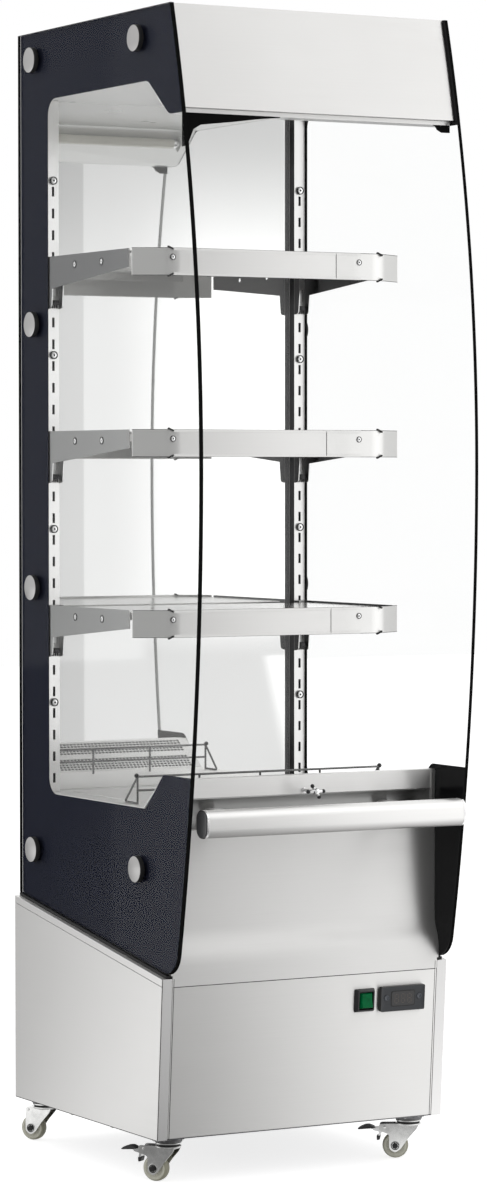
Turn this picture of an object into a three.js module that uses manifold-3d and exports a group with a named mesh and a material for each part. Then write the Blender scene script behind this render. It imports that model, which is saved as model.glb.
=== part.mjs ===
// Multideck heated display: a glass-sided hot food merchandiser on four swivel castors.
// Millimetres. X runs across, the front faces -Y, +Z is up, the floor is z = 0.

import * as THREE from 'three';
import { mergeVertices } from 'three/addons/utils/BufferGeometryUtils.js';
import Module from 'manifold-3d';

const wasm = await Module();
wasm.setup();

// Overall sizes and shared clearances
const BASE_WIDTH = 497;
const OVERALL_DEPTH = 598;
const OVERALL_HEIGHT = 1750;
const SHEET = 1.5;
const SEAT_GAP = 0.3;
const OVERRUN = 4;

// Base cabinet: its sides fall towards the front and its front face leans
const CASTOR_HEIGHT = 69;
const BASE_FRONT_HEIGHT = 243;
const BASE_REAR_HEIGHT = 321.6;
const BASE_FRONT_SETBACK = 101;
const BASE_LEAN = 17;
const POST_WIDTH = 17.5;
const LEDGE_WIDTH = 24;
const RIM_GROOVE_DROP = 12;
const RIM_GROOVE_HEIGHT = 1;
const RIM_GROOVE_DEPTH = 0.6;
const COVER_HEIGHT = 230;
const COVER_FLANGE = 12;
const FLOOR_SLOT_COUNT = 7;
const FLOOR_SLOT_LENGTH = 90;
const FLOOR_SLOT_WIDTH = 7;
const FLOOR_SLOT_PITCH = 18;
const GLAND_RADIUS = 11;
const GLAND_LENGTH = 9;
const GLAND_BORE = 5;
const GLAND_X = 150;
const GLAND_RISE = 60;

// Side glasses: a convex front edge made of two sweeps that meet at the apex
const GLASS_THICKNESS = 6;
const GLASS_INSET = 9;
const GASKET_HEIGHT = 5;
const GASKET_PROUD = 1.5;
const APEX_HEIGHT = 1065;
const UPPER_SWEEP = 2673;
const LOWER_SWEEP = 3800;
const GLASS_CORNER = 40;
const PRINT_THICKNESS = 0.3;
const WINDOW_REAR_BORDER = 94;
const WINDOW_TOP_DROP = 107;
const WINDOW_BOTTOM_DROP = 1;
const WINDOW_CORNER = 26;
const WINDOW_STEP_SLACK = 8;

// Stand-off caps that hold each glass
const CAP_RADIUS = 20;
const CAP_PROUD = 8.7;
const CAP_EDGE = 1.5;
const SPIGOT_RADIUS = 6;
const SPIGOT_CLEARANCE = 0.5;
const CAP_REAR_BORDER = 55;
const CAP_FRONT_BORDER = 112.76;
const CAP_TOP_DROP = 43;
const CAP_DECK_DROP = 92;
const CAP_ROWS = 4;

// Rear body: polished wall inside, louvred cover outside
const REAR_BODY_DEPTH = 74;
const REAR_COVER_INSET = 3;
const COVER_TOP_DROP = 1.8;
const LOUVRE_COUNT = 7;
const LOUVRE_PITCH = 16;
const LOUVRE_LENGTH = 150;
const LOUVRE_HEIGHT = 6;
const LOUVRE_PROUD = 2.5;
const LOUVRE_TOP_DROP = 70;
const LOUVRE_LOWER_RISE = 60;

// Slotted uprights
const UPRIGHT_WIDTH = 20;
const UPRIGHT_DEPTH = 15;
const UPRIGHT_WALL = 2;
const UPRIGHT_INSET = 0.6;
const SLOT_PITCH = 34;
const SLOT_HEIGHT = 15;
const SLOT_WIDTH = 4;
const TOP_SHELF_ROOM = 240;
const SCREW_HEAD_RADIUS = 5.5;
const SCREW_HEAD_HEIGHT = 1.8;

// Canopy with its leaning fascia, and the soffit and lamp below it
const FASCIA_SETBACK = 5;
const FASCIA_HEIGHT = 155;
const FASCIA_LIP = 12;
const SOFFIT_DROP = 107.2;
const SOFFIT_STEP_DROP = 54.8;
const SOFFIT_FRONT_DEPTH = 46.24;
const SOFFIT_STEP_RUN = 66.5;
const LAMP_RADIUS = 8;
const LAMP_END_GAP = 28.2;
const LAMP_STANDOFF = 1.5;
const LAMP_PLACE = 24;
const HOLDER_LENGTH = 12;
const HOLDER_WIDTH = 22;
const HOLDER_REACH = 20;
const HOLDER_CORNER = 3;
const PIN_RADIUS = 1.2;
const PIN_LENGTH = 5;

// Deck, air sill and front panel
const DECK_HEIGHT = 560;
const DECK_SKIRT = 120;
const DECK_RAISE = 1;
const DECK_RAISE_BORDER = 8;
const PANEL_SETBACK = 112;
const SILL_HEIGHT = 46;
const SILL_LEDGE = 19;
const SILL_RUN = 56;
const SILL_FACE_HEIGHT = 28.7;
const GRILLE_ROWS = 2;
const GRILLE_COLUMNS = 30;
const GRILLE_HOLE = 8;
const GRILLE_HOLE_LENGTH = 24;
const GRILLE_PITCH = 14;
const GRILLE_ROW_PITCH = 30;
const PLENUM_SLOT_COUNT = 8;
const PLENUM_SLOT_LENGTH = 34;
const PLENUM_SLOT_WIDTH = 22;
const PLENUM_SLOT_PITCH = 50;
const PANEL_EAR = 7;
const PANEL_RETURN = 14;
const PANEL_CURVE_TOP = 385;
const PANEL_CURVE_END = 330;
const PANEL_CURVE_POINTS = 9;
const RECESS_HEIGHT = 46.4;

// Flattened bar on two arms, and the wing screw above it
const BAR_END_INSET = 8.7;
const BAR_HEIGHT = 41;
const BAR_DEPTH = 33;
const BAR_CORNER = 13;
const BAR_SETBACK = 7;
const BAR_CENTRE_HEIGHT = 547;
const ARM_END_INSET = 73.5;
const ARM_WIDTH = 35;
const ARM_THICKNESS = 8;
const ARM_RISE = 12;
const WING_SPAN = 31;
const WING_HEIGHT = 15;
const WING_THICKNESS = 4;
const WING_REACH = 38;
const WING_HUB_RADIUS = 5;
const WING_HUB_LENGTH = 18;
const WING_SHANK_RADIUS = 2.5;
const WING_SHANK_LENGTH = 9;
const WING_RISE = 23;

// Shelves and their brackets
const SHELF_COUNT = 3;
const LOWEST_SHELF_HEIGHT = 854.5;
const BAND_HEIGHT = 41;
const BAND_SETBACK = 192;
const RETURN_RUN = 50;
const RETURN_DEPTH = 37;
const TRAY_DROP = 3;
const BRACKET_HOOK_HEIGHT = 81;
const BRACKET_REAR_HEIGHT = 50;
const BRACKET_FRONT_HEIGHT = 28;
const BRACKET_CHEEK = 15;
const BRACKET_WINDOW_WIDTH = 9;
const BRACKET_WINDOW_HEIGHT = 20;
const BRACKET_END_GAP = 5;
const BRACKET_HOLE_RADIUS = 3.5;
const BRACKET_HOLE_DROP = 16;
const BRACKET_HOLE_SHARES = [1 / 3, 2 / 3];
const LEDGE_FLANGE = 12;
const HOOK_NECK_HEIGHT = 8;
const HOOK_TOOTH_DROP = 5;
const HOOK_THICKNESS = 2;
const HOOKED_SLOTS = [1, 2];

// Wire guard on the deck
const WIRE_RADIUS = 2;
const GUARD_HEIGHT = 49;
const GUARD_MID_HEIGHT = 21;
const GUARD_POST_PITCH = 106.5;
const GUARD_POSTS = 5;
const GUARD_OFFSET = 9;
const GUARD_SETBACK = 240;
const GUARD_LEG_RUN = 41;

// Controls on the base front cover
const SWITCH_WIDTH = 36;
const SWITCH_HEIGHT = 36;
const SWITCH_PROUD = 4;
const SWITCH_BODY_DEPTH = 22;
const SWITCH_BODY_WIDTH = 28;
const SWITCH_BODY_HEIGHT = 30;
const SWITCH_SIDE_INSET = 146;
const CONTROL_HEIGHT = 259.5;
const ROCKER_WIDTH = 20;
const ROCKER_HEIGHT = 24;
const ROCKER_DEPTH = 7;
const ROCKER_CROWN = 4.5;
const ROCKER_TILT = 8;
const ROCKER_PIVOT_DEPTH = 3.5;
const ROCKER_CLEARANCE = 0.6;
const ROCKER_WELL_DEPTH = 12;
const ROCKER_PIN_RADIUS = 1.6;
const CONTROLLER_WIDTH = 81;
const CONTROLLER_HEIGHT = 39;
const CONTROLLER_PROUD = 5;
const CONTROLLER_BODY_WIDTH = 71;
const CONTROLLER_BODY_HEIGHT = 29;
const CONTROLLER_BODY_DEPTH = 58;
const CONTROLLER_SIDE_INSET = 80.5;
const CONTROLLER_CORNER = 3;
const DISPLAY_WIDTH = 38;
const DISPLAY_HEIGHT = 20;
const DISPLAY_RECESS = 1;
const KEY_RADIUS = 4.5;
const KEY_PROUD = 1;
const KEY_DEPTH = 3;
const KEY_TRAVEL_ROOM = 1.2;
const KEY_SPACING = 58;

// Castors
const CASTOR_SIDE_INSET = 37.5;
const CASTOR_FRONT_INSET = 51;
const CASTOR_REAR_INSET = 31;
const WHEEL_RADIUS = 20;
const WHEEL_WIDTH = 17;
const WHEEL_SIDES = 16;
const WHEEL_ROUND = 4;
const WHEEL_DISH = 2;
const HUB_RADIUS = 8;
const AXLE_RADIUS = 3;
const AXLE_CLEARANCE = 0.06;
const AXLE_SIDES = 12;
const NUT_RADIUS = 5;
const NUT_HEIGHT = 2.5;
const TRAIL = 20;
const CROWN_RADIUS = 19;
const CROWN_HEIGHT = 9;
const CROWN_GAP = 0.3;
const PAD_HEIGHT = 7.7;
const CHEEK_THICKNESS = 2;
const CHEEK_CLEARANCE = 1;
const CHEEK_FOOT_RADIUS = 9;
const PEDAL_WIDTH = 14;
const PEDAL_REACH = 78;
const PEDAL_PIVOT_X = 36;
const PEDAL_PIVOT_HEIGHT = 49;
const PEDAL_PIN_RADIUS = 2;
const HEADING_FRONT_LEFT = 56;
const HEADING_FRONT_RIGHT = 34;
const HEADING_REAR_LEFT = 55;
const HEADING_REAR_RIGHT = 40;

// Air heater and fan below the deck
const FAN_SIZE = 150;
const FAN_DEPTH = 38;
const FAN_BORE = 70;
const FAN_HUB_RADIUS = 22;
const FAN_BLADES = 7;
const FAN_BLADE_CHORD = 24;
const FAN_BLADE_THICKNESS = 2.4;
const FAN_BLADE_TWIST = 32;
const FAN_TIP_CLEARANCE = 3;
const FAN_Y = 60;
const MOTOR_DEPTH = 16;
const STRUT_WIDTH = 7;
const HEATER_TUBE_RADIUS = 4;
const HEATER_LENGTH = 300;
const HEATER_RUN_SPACING = 34;
const HEATER_Y = 60;
const HEATER_END_ROOM = 60;
const HEATER_DROP = 36;
const FIN_RADIUS = 12;
const FIN_THICKNESS = 0.8;
const FIN_PITCH = 30;
const HEATER_BRACKET_WIDTH = 60;

// Counts of facets
const ARC_STEPS = 9;
const CORNER_STEPS = 3;
const BLADE_STEPS = 4;
const BAR_STEPS = 5;
const CHEEK_STEPS = 6;
const NUT_SIDES = 6;
const ROUND_SIDES = 18;
const SMALL_SIDES = 10;
const WIRE_SIDES = 8;

// Places worked out from the sizes
const REAR_Y = OVERALL_DEPTH / 2;
const FRONT_Y = -OVERALL_DEPTH / 2;
const BASE_SIDE_X = BASE_WIDTH / 2;
const GLASS_OUTER_X = BASE_SIDE_X - GLASS_INSET;
const GLASS_INNER_X = GLASS_OUTER_X - GLASS_THICKNESS;
const INNER_X = GLASS_INNER_X - SEAT_GAP;
const BASE_FRONT_Y = FRONT_Y + BASE_FRONT_SETBACK;
const BASE_FRONT_TOP = CASTOR_HEIGHT + BASE_FRONT_HEIGHT;
const BASE_REAR_TOP = CASTOR_HEIGHT + BASE_REAR_HEIGHT;
const BASE_SLOPE = (BASE_REAR_TOP - BASE_FRONT_TOP) / (REAR_Y - BASE_FRONT_Y);
const BASE_LEAN_SLOPE = BASE_LEAN / BASE_FRONT_HEIGHT;
const WALL_Y = REAR_Y - REAR_BODY_DEPTH;
const UPRIGHT_FACE_Y = WALL_Y - SEAT_GAP - UPRIGHT_DEPTH;
const UPRIGHT_OUTER_X = INNER_X - UPRIGHT_INSET;
const UPRIGHT_X = UPRIGHT_OUTER_X - UPRIGHT_WIDTH / 2;
const SOFFIT_HEIGHT = OVERALL_HEIGHT - SOFFIT_DROP;
const PANEL_Y = FRONT_Y + PANEL_SETBACK;
const SILL_TOP = DECK_HEIGHT + SILL_HEIGHT;
const SILL_FACE_BOTTOM = SILL_TOP - SILL_FACE_HEIGHT;
const RECESS_TOP = SILL_FACE_BOTTOM - SEAT_GAP;
const RECESS_BOTTOM = RECESS_TOP - RECESS_HEIGHT;
const RECESS_CENTRE = RECESS_TOP - RECESS_HEIGHT / 2;
const PANEL_SHOULDER = RECESS_BOTTOM - SEAT_GAP;
const SEAM_HEIGHT = CASTOR_HEIGHT + COVER_HEIGHT;
const BAND_Y = FRONT_Y + BAND_SETBACK;
const SHELF_ROOM = SOFFIT_HEIGHT - TOP_SHELF_ROOM - LOWEST_SHELF_HEIGHT;
const SLOTS_PER_SHELF = Math.floor(SHELF_ROOM / (SHELF_COUNT - 1) / SLOT_PITCH);
const SHELF_PITCH = SLOT_PITCH * SLOTS_PER_SHELF;
const BRACKET_FOOT = SHEET * 4;
const TRAY_REAR_Y = UPRIGHT_FACE_Y - SEAT_GAP - SHEET - BRACKET_CHEEK - SEAT_GAP;
const GUARD_Y = FRONT_Y + GUARD_SETBACK;
const CROWN_TOP = CASTOR_HEIGHT - PAD_HEIGHT - CROWN_GAP;
const SWITCH_X = BASE_SIDE_X - SWITCH_SIDE_INSET;
const CONTROLLER_X = BASE_SIDE_X - CONTROLLER_SIDE_INSET;
const CASTOR_X = BASE_SIDE_X - CASTOR_SIDE_INSET;
const CASTOR_FRONT_Y = BASE_FRONT_Y + CASTOR_FRONT_INSET;
const CASTOR_REAR_Y = REAR_Y - CASTOR_REAR_INSET;
const LAMP_HALF_LENGTH = INNER_X - LAMP_END_GAP;
const BAR_HALF_LENGTH = INNER_X - BAR_END_INSET;

const steel = new THREE.MeshStandardMaterial({ color: 0xd6d6d4, roughness: 0.38, metalness: 0.9 });
const polished = new THREE.MeshStandardMaterial({ color: 0xeeeeee, roughness: 0.08, metalness: 1 });
const printedGlass = new THREE.MeshStandardMaterial({ color: 0x2c2d34, roughness: 0.12, metalness: 0 });
const rubber = new THREE.MeshStandardMaterial({ color: 0x141414, roughness: 0.8, metalness: 0 });
const darkSteel = new THREE.MeshStandardMaterial({ color: 0x6a6a6a, roughness: 0.45, metalness: 0.8 });
const chrome = new THREE.MeshStandardMaterial({ color: 0xc9c9c9, roughness: 0.15, metalness: 1 });
const nylon = new THREE.MeshStandardMaterial({ color: 0xc9c8b4, roughness: 0.5, metalness: 0 });
const blackPlastic = new THREE.MeshStandardMaterial({ color: 0x1b1c1e, roughness: 0.45, metalness: 0 });
const greenPlastic = new THREE.MeshStandardMaterial({ color: 0x0c8a4a, roughness: 0.3, metalness: 0 });
const lampGlass = new THREE.MeshStandardMaterial({ color: 0xfff2d8, roughness: 0.3, metalness: 0 });
const blackPaint = new THREE.MeshStandardMaterial({ color: 0x26282a, roughness: 0.55, metalness: 0.3 });

// Axes of an outline drawn in one plane and pushed out along the third
const ALONG_X = new THREE.Matrix4().makeBasis(
  new THREE.Vector3(0, 1, 0), new THREE.Vector3(0, 0, 1), new THREE.Vector3(1, 0, 0));
const ALONG_Y = new THREE.Matrix4().makeBasis(
  new THREE.Vector3(1, 0, 0), new THREE.Vector3(0, 0, 1), new THREE.Vector3(0, -1, 0));

const assembly = new THREE.Group();

function solidFrom(geometry) {
  const bare = geometry.clone();
  bare.deleteAttribute('normal');
  bare.deleteAttribute('uv');
  const welded = mergeVertices(bare);
  const mesh = new wasm.Mesh({
    numProp: 3,
    vertProperties: Float32Array.from(welded.attributes.position.array),
    triVerts: Uint32Array.from(welded.index.array),
  });
  return new wasm.Manifold(mesh);
}

function geometryFrom(solid) {
  const mesh = solid.getMesh();
  const geometry = new THREE.BufferGeometry();
  geometry.setAttribute('position', new THREE.BufferAttribute(mesh.vertProperties, 3));
  geometry.setIndex(new THREE.BufferAttribute(mesh.triVerts, 1));
  geometry.computeVertexNormals();
  return geometry;
}

function addPart(name, solid, material, parent = assembly) {
  const mesh = new THREE.Mesh(geometryFrom(solid), material);
  mesh.name = name;
  parent.add(mesh);
  return mesh;
}

function joined(solids) {
  return solids.reduce((sum, solid) => sum.add(solid));
}

function cutBy(solid, tools) {
  return tools.length ? solid.subtract(joined(tools)) : solid;
}

function block(x0, x1, y0, y1, z0, z1) {
  const box = new THREE.BoxGeometry(x1 - x0, y1 - y0, z1 - z0);
  box.translate((x0 + x1) / 2, (y0 + y1) / 2, (z0 + z1) / 2);
  return solidFrom(box);
}

function push(shape, length, curveSegments) {
  return new THREE.ExtrudeGeometry(shape, { depth: length, bevelEnabled: false, curveSegments });
}

// Outline in (y, z), from x0 to x1
function prismX(shape, x0, x1, curveSegments = ARC_STEPS) {
  return solidFrom(push(shape, x1 - x0, curveSegments).applyMatrix4(ALONG_X).translate(x0, 0, 0));
}

// Outline in (x, z), from y0 to y1
function prismY(shape, y0, y1, curveSegments = ARC_STEPS) {
  return solidFrom(push(shape, y1 - y0, curveSegments).applyMatrix4(ALONG_Y).translate(0, y1, 0));
}

// Outline in (x, y), from z0 to z1
function prismZ(shape, z0, z1, curveSegments = ARC_STEPS) {
  return solidFrom(push(shape, z1 - z0, curveSegments).translate(0, 0, z0));
}

function rod(start, end, radius, sides = WIRE_SIDES) {
  const along = end.clone().sub(start);
  const cylinder = new THREE.CylinderGeometry(radius, radius, along.length(), sides);
  const turn = new THREE.Quaternion().setFromUnitVectors(new THREE.Vector3(0, 1, 0), along.normalize());
  cylinder.applyQuaternion(turn);
  cylinder.translate((start.x + end.x) / 2, (start.y + end.y) / 2, (start.z + end.z) / 2);
  return solidFrom(cylinder);
}

function rodX(x0, x1, y, z, radius, sides = WIRE_SIDES) {
  return rod(point(x0, y, z), point(x1, y, z), radius, sides);
}

function rodY(x, y0, y1, z, radius, sides = WIRE_SIDES) {
  return rod(point(x, y0, z), point(x, y1, z), radius, sides);
}

function rodZ(x, y, z0, z1, radius, sides = WIRE_SIDES) {
  return rod(point(x, y, z0), point(x, y, z1), radius, sides);
}

// A block as wide on both sides of the middle
function midBlock(halfWidth, y0, y1, z0, z1) {
  return block(-halfWidth, halfWidth, y0, y1, z0, z1);
}

function point(x, y, z) {
  return new THREE.Vector3(x, y, z);
}

function outline(points) {
  return new THREE.Shape(points.map(([u, v]) => new THREE.Vector2(u, v)));
}

// A bent sheet: the path of one face, thickened to the left of its direction
function bentSheet(points, thickness) {
  const inner = points.map((here, i) => {
    const before = points[Math.max(i - 1, 0)];
    const after = points[Math.min(i + 1, points.length - 1)];
    const arrive = i > 0 ? leftOf(before, here) : leftOf(here, after);
    const leave = i < points.length - 1 ? leftOf(here, after) : arrive;
    const mitre = [arrive[0] + leave[0], arrive[1] + leave[1]];
    const scale = 2 * thickness / (mitre[0] ** 2 + mitre[1] ** 2);
    return [here[0] + mitre[0] * scale, here[1] + mitre[1] * scale];
  });
  return outline([...points, ...inner.reverse()]);
}

function leftOf(start, end) {
  const length = Math.hypot(end[0] - start[0], end[1] - start[1]);
  return [-(end[1] - start[1]) / length, (end[0] - start[0]) / length];
}

function roundedRectangle(width, height, radius) {
  const shape = new THREE.Shape();
  const right = width / 2;
  const top = height / 2;
  shape.moveTo(-right + radius, -top);
  shape.lineTo(right - radius, -top);
  shape.absarc(right - radius, -top + radius, radius, -Math.PI / 2, 0);
  shape.lineTo(right, top - radius);
  shape.absarc(right - radius, top - radius, radius, 0, Math.PI / 2);
  shape.lineTo(-right + radius, top);
  shape.absarc(-right + radius, top - radius, radius, Math.PI / 2, Math.PI);
  shape.lineTo(-right, -top + radius);
  shape.absarc(-right + radius, -top + radius, radius, Math.PI, 3 * Math.PI / 2);
  return shape;
}

// Height of the sloped top of the base at a depth y
function slopeHeight(y) {
  return BASE_FRONT_TOP + BASE_SLOPE * (y - BASE_FRONT_Y);
}

// Depth of the leaning front face of the base at a height z
function leanDepth(z) {
  return BASE_FRONT_Y + BASE_LEAN_SLOPE * (BASE_FRONT_TOP - z);
}

// Front edge of the glass, moved back by an inset
function sweepDepth(z, inset = 0) {
  const sweep = (z > APEX_HEIGHT ? UPPER_SWEEP : LOWER_SWEEP) - inset;
  const centre = FRONT_Y + inset + sweep;
  return centre - Math.sqrt(sweep ** 2 - (z - APEX_HEIGHT) ** 2);
}

function mirrored(solid) {
  return solid.mirror([1, 0, 0]);
}

// The two hands of a piece that is drawn on the right side, x > 0
function addPair(name, solid, material) {
  addPart(`left_${name}`, mirrored(solid), material);
  addPart(`right_${name}`, solid, material);
}

function buildBase() {
  const outer = outline([
    [leanDepth(CASTOR_HEIGHT), CASTOR_HEIGHT],
    [REAR_Y, CASTOR_HEIGHT],
    [REAR_Y, BASE_REAR_TOP],
    [BASE_FRONT_Y, BASE_FRONT_TOP],
  ]);
  const cavity = outline([
    [leanDepth(CASTOR_HEIGHT) + SHEET, CASTOR_HEIGHT - OVERRUN],
    [REAR_Y - SHEET, CASTOR_HEIGHT - OVERRUN],
    [REAR_Y - SHEET, slopeHeight(REAR_Y - SHEET) - SHEET],
    [BASE_FRONT_Y + SHEET, slopeHeight(BASE_FRONT_Y + SHEET) - SHEET],
  ]);
  const openingX = BASE_SIDE_X - LEDGE_WIDTH;
  const grooves = [-1, 1].map((side) => {
    const inside = side * (BASE_SIDE_X - RIM_GROOVE_DEPTH);
    const outside = side * (BASE_SIDE_X + OVERRUN);
    const groove = outline([
      [BASE_FRONT_Y - OVERRUN, slopeHeight(BASE_FRONT_Y - OVERRUN) - RIM_GROOVE_DROP],
      [REAR_Y + OVERRUN, slopeHeight(REAR_Y + OVERRUN) - RIM_GROOVE_DROP],
      [REAR_Y + OVERRUN, slopeHeight(REAR_Y + OVERRUN) - RIM_GROOVE_DROP + RIM_GROOVE_HEIGHT],
      [BASE_FRONT_Y - OVERRUN, slopeHeight(BASE_FRONT_Y - OVERRUN) - RIM_GROOVE_DROP + RIM_GROOVE_HEIGHT],
    ]);
    return prismX(groove, Math.min(inside, outside), Math.max(inside, outside));
  });
  const coverX = BASE_SIDE_X - POST_WIDTH;
  const glandHeight = CASTOR_HEIGHT + GLAND_RISE;
  const shell = prismX(outer, -BASE_SIDE_X, BASE_SIDE_X);
  const glandY = REAR_Y - SHEET - GLAND_LENGTH;
  const gland = rodY(GLAND_X, glandY, REAR_Y, glandHeight, GLAND_RADIUS, SMALL_SIDES);
  const hollow = cutBy(shell, [
    prismX(cavity, -BASE_SIDE_X + SHEET, BASE_SIDE_X - SHEET),
    midBlock(openingX, BASE_FRONT_Y + LEDGE_WIDTH, REAR_Y - LEDGE_WIDTH,
      CASTOR_HEIGHT, BASE_REAR_TOP + OVERRUN),
    midBlock(coverX, BASE_FRONT_Y - OVERRUN, BASE_FRONT_Y + LEDGE_WIDTH + OVERRUN,
      CASTOR_HEIGHT - OVERRUN, BASE_REAR_TOP + OVERRUN),
    ...grooves,
  ]);
  const bore = rodY(GLAND_X, glandY - OVERRUN, REAR_Y + OVERRUN, glandHeight, GLAND_BORE, SMALL_SIDES);
  addPart('base_shell', hollow.add(gland).subtract(bore), steel);
}

function castorPlaces() {
  return [
    { name: 'front_left', x: -CASTOR_X, y: CASTOR_FRONT_Y, heading: HEADING_FRONT_LEFT, pedal: true },
    { name: 'front_right', x: CASTOR_X, y: CASTOR_FRONT_Y, heading: HEADING_FRONT_RIGHT, pedal: true },
    { name: 'rear_left', x: -CASTOR_X, y: CASTOR_REAR_Y, heading: HEADING_REAR_LEFT, pedal: false },
    { name: 'rear_right', x: CASTOR_X, y: CASTOR_REAR_Y, heading: HEADING_REAR_RIGHT, pedal: false },
  ];
}

function buildFloor() {
  const edgeX = BASE_SIDE_X - SHEET - SEAT_GAP;
  const rearY = REAR_Y - SHEET - SEAT_GAP;
  const frontY = leanDepth(CASTOR_HEIGHT) + SHEET + SEAT_GAP;
  const plate = midBlock(edgeX, frontY, rearY, CASTOR_HEIGHT, CASTOR_HEIGHT + SHEET);
  const padFoot = CASTOR_HEIGHT - PAD_HEIGHT;
  const pads = castorPlaces().map(({ x, y }) =>
    rodZ(x, y, padFoot, CASTOR_HEIGHT + SHEET / 2, CROWN_RADIUS + SHEET, ROUND_SIDES));
  const slots = [];
  for (let i = 0; i < FLOOR_SLOT_COUNT; i += 1) {
    const y = (i - (FLOOR_SLOT_COUNT - 1) / 2) * FLOOR_SLOT_PITCH;
    slots.push(midBlock(FLOOR_SLOT_LENGTH / 2, y - FLOOR_SLOT_WIDTH / 2, y + FLOOR_SLOT_WIDTH / 2,
      CASTOR_HEIGHT - OVERRUN, CASTOR_HEIGHT + SHEET + OVERRUN));
  }
  addPart('base_floor', cutBy(joined([plate, ...pads]), slots), steel);
}

// A solid drawn upright at the front, laid against the leaning face of the base.
// Its y = 0 is the outer face, its z = 0 the height of the controls.
function onLean(solid, x) {
  const tilt = THREE.MathUtils.radToDeg(Math.atan(BASE_LEAN_SLOPE));
  return solid.rotate([tilt, 0, 0]).translate([x, leanDepth(CONTROL_HEIGHT), CONTROL_HEIGHT]);
}

function buildFrontCover() {
  const halfWidth = BASE_SIDE_X - POST_WIDTH - SEAT_GAP;
  const path = [
    [leanDepth(CASTOR_HEIGHT) + COVER_FLANGE, CASTOR_HEIGHT + SHEET + SEAT_GAP],
    [leanDepth(CASTOR_HEIGHT), CASTOR_HEIGHT + SHEET + SEAT_GAP],
    [leanDepth(SEAM_HEIGHT), SEAM_HEIGHT],
    [leanDepth(SEAM_HEIGHT) + COVER_FLANGE, SEAM_HEIGHT],
  ];
  const sheet = prismX(bentSheet(path.reverse(), SHEET), -halfWidth, halfWidth);
  addPart('base_front_cover', cutBy(sheet, [
    onLean(cutOut(SWITCH_BODY_WIDTH, SWITCH_BODY_HEIGHT), SWITCH_X),
    onLean(cutOut(CONTROLLER_BODY_WIDTH, CONTROLLER_BODY_HEIGHT), CONTROLLER_X),
  ]), steel);
}

// Tool for the hole in the cover that a control's body passes through
function cutOut(width, height) {
  const halfHeight = height / 2 + SEAT_GAP;
  return midBlock(width / 2 + SEAT_GAP, -OVERRUN, SHEET + OVERRUN, -halfHeight, halfHeight);
}

function glassOutline() {
  const shape = new THREE.Shape();
  const topAngle = Math.asin((OVERALL_HEIGHT - APEX_HEIGHT) / UPPER_SWEEP);
  const bottom = (y) => slopeHeight(y) + GASKET_HEIGHT;
  const corner = cornerCentre(bottom);
  const lowAngle = Math.atan2(APEX_HEIGHT - corner.z, LOWER_SWEEP + FRONT_Y - corner.y);
  const underAngle = Math.atan(BASE_SLOPE) + Math.PI * 3 / 2;
  shape.moveTo(REAR_Y, bottom(REAR_Y));
  shape.lineTo(REAR_Y, OVERALL_HEIGHT);
  shape.absarc(FRONT_Y + UPPER_SWEEP, APEX_HEIGHT, UPPER_SWEEP, Math.PI - topAngle, Math.PI);
  shape.absarc(FRONT_Y + LOWER_SWEEP, APEX_HEIGHT, LOWER_SWEEP, Math.PI, Math.PI + lowAngle);
  shape.absarc(corner.y, corner.z, GLASS_CORNER, Math.PI + lowAngle, underAngle);
  return shape;
}

// Centre of the round lower front corner: inside the lower sweep and above the sloped foot
function cornerCentre(bottom) {
  const lift = GLASS_CORNER * Math.hypot(1, BASE_SLOPE);
  const centreY = FRONT_Y + LOWER_SWEEP;
  const reach = LOWER_SWEEP - GLASS_CORNER;
  const drop = bottom(centreY) + lift - APEX_HEIGHT;
  const a = 1 + BASE_SLOPE ** 2;
  const b = 2 * BASE_SLOPE * drop;
  const c = drop ** 2 - reach ** 2;
  const u = (-b - Math.sqrt(b ** 2 - 4 * a * c)) / (2 * a);
  const y = centreY + u;
  return { y, z: bottom(y) + lift };
}

// The clear window in the printed border follows the soffit above and the sill below
function windowOutline() {
  const shape = new THREE.Shape();
  const rear = REAR_Y - WINDOW_REAR_BORDER;
  const top = OVERALL_HEIGHT - WINDOW_TOP_DROP;
  const foot = DECK_HEIGHT - WINDOW_BOTTOM_DROP;
  const soffitStep = soffitPath();
  const sillFoot = PANEL_Y + SILL_LEDGE + SILL_RUN;
  const front = FRONT_Y - OVERRUN;
  shape.moveTo(rear, foot + WINDOW_CORNER);
  shape.lineTo(rear, top - WINDOW_CORNER);
  shape.absarc(rear - WINDOW_CORNER, top - WINDOW_CORNER, WINDOW_CORNER, 0, Math.PI / 2);
  shape.lineTo(soffitStep[1][0], top);
  shape.lineTo(soffitStep[2][0], soffitStep[2][1]);
  shape.lineTo(front, soffitStep[2][1]);
  shape.lineTo(front, SILL_TOP + WINDOW_STEP_SLACK);
  shape.lineTo(PANEL_Y + SILL_LEDGE - WINDOW_STEP_SLACK, SILL_TOP + WINDOW_STEP_SLACK);
  shape.lineTo(sillFoot - WINDOW_STEP_SLACK, foot);
  shape.lineTo(rear - WINDOW_CORNER, foot);
  shape.absarc(rear - WINDOW_CORNER, foot + WINDOW_CORNER, WINDOW_CORNER, -Math.PI / 2, 0);
  return shape;
}

function capPlaces() {
  const rearY = REAR_Y - CAP_REAR_BORDER;
  const top = OVERALL_HEIGHT - CAP_TOP_DROP;
  const bottom = DECK_HEIGHT - CAP_DECK_DROP;
  const frontY = sweepDepth(top) + CAP_FRONT_BORDER;
  const places = [];
  for (let row = 0; row < CAP_ROWS; row += 1) {
    places.push({ y: rearY, z: top - (top - bottom) * row / (CAP_ROWS - 1) });
  }
  places.push({ y: frontY, z: top });
  places.push({ y: frontY, z: bottom });
  return places;
}

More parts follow.
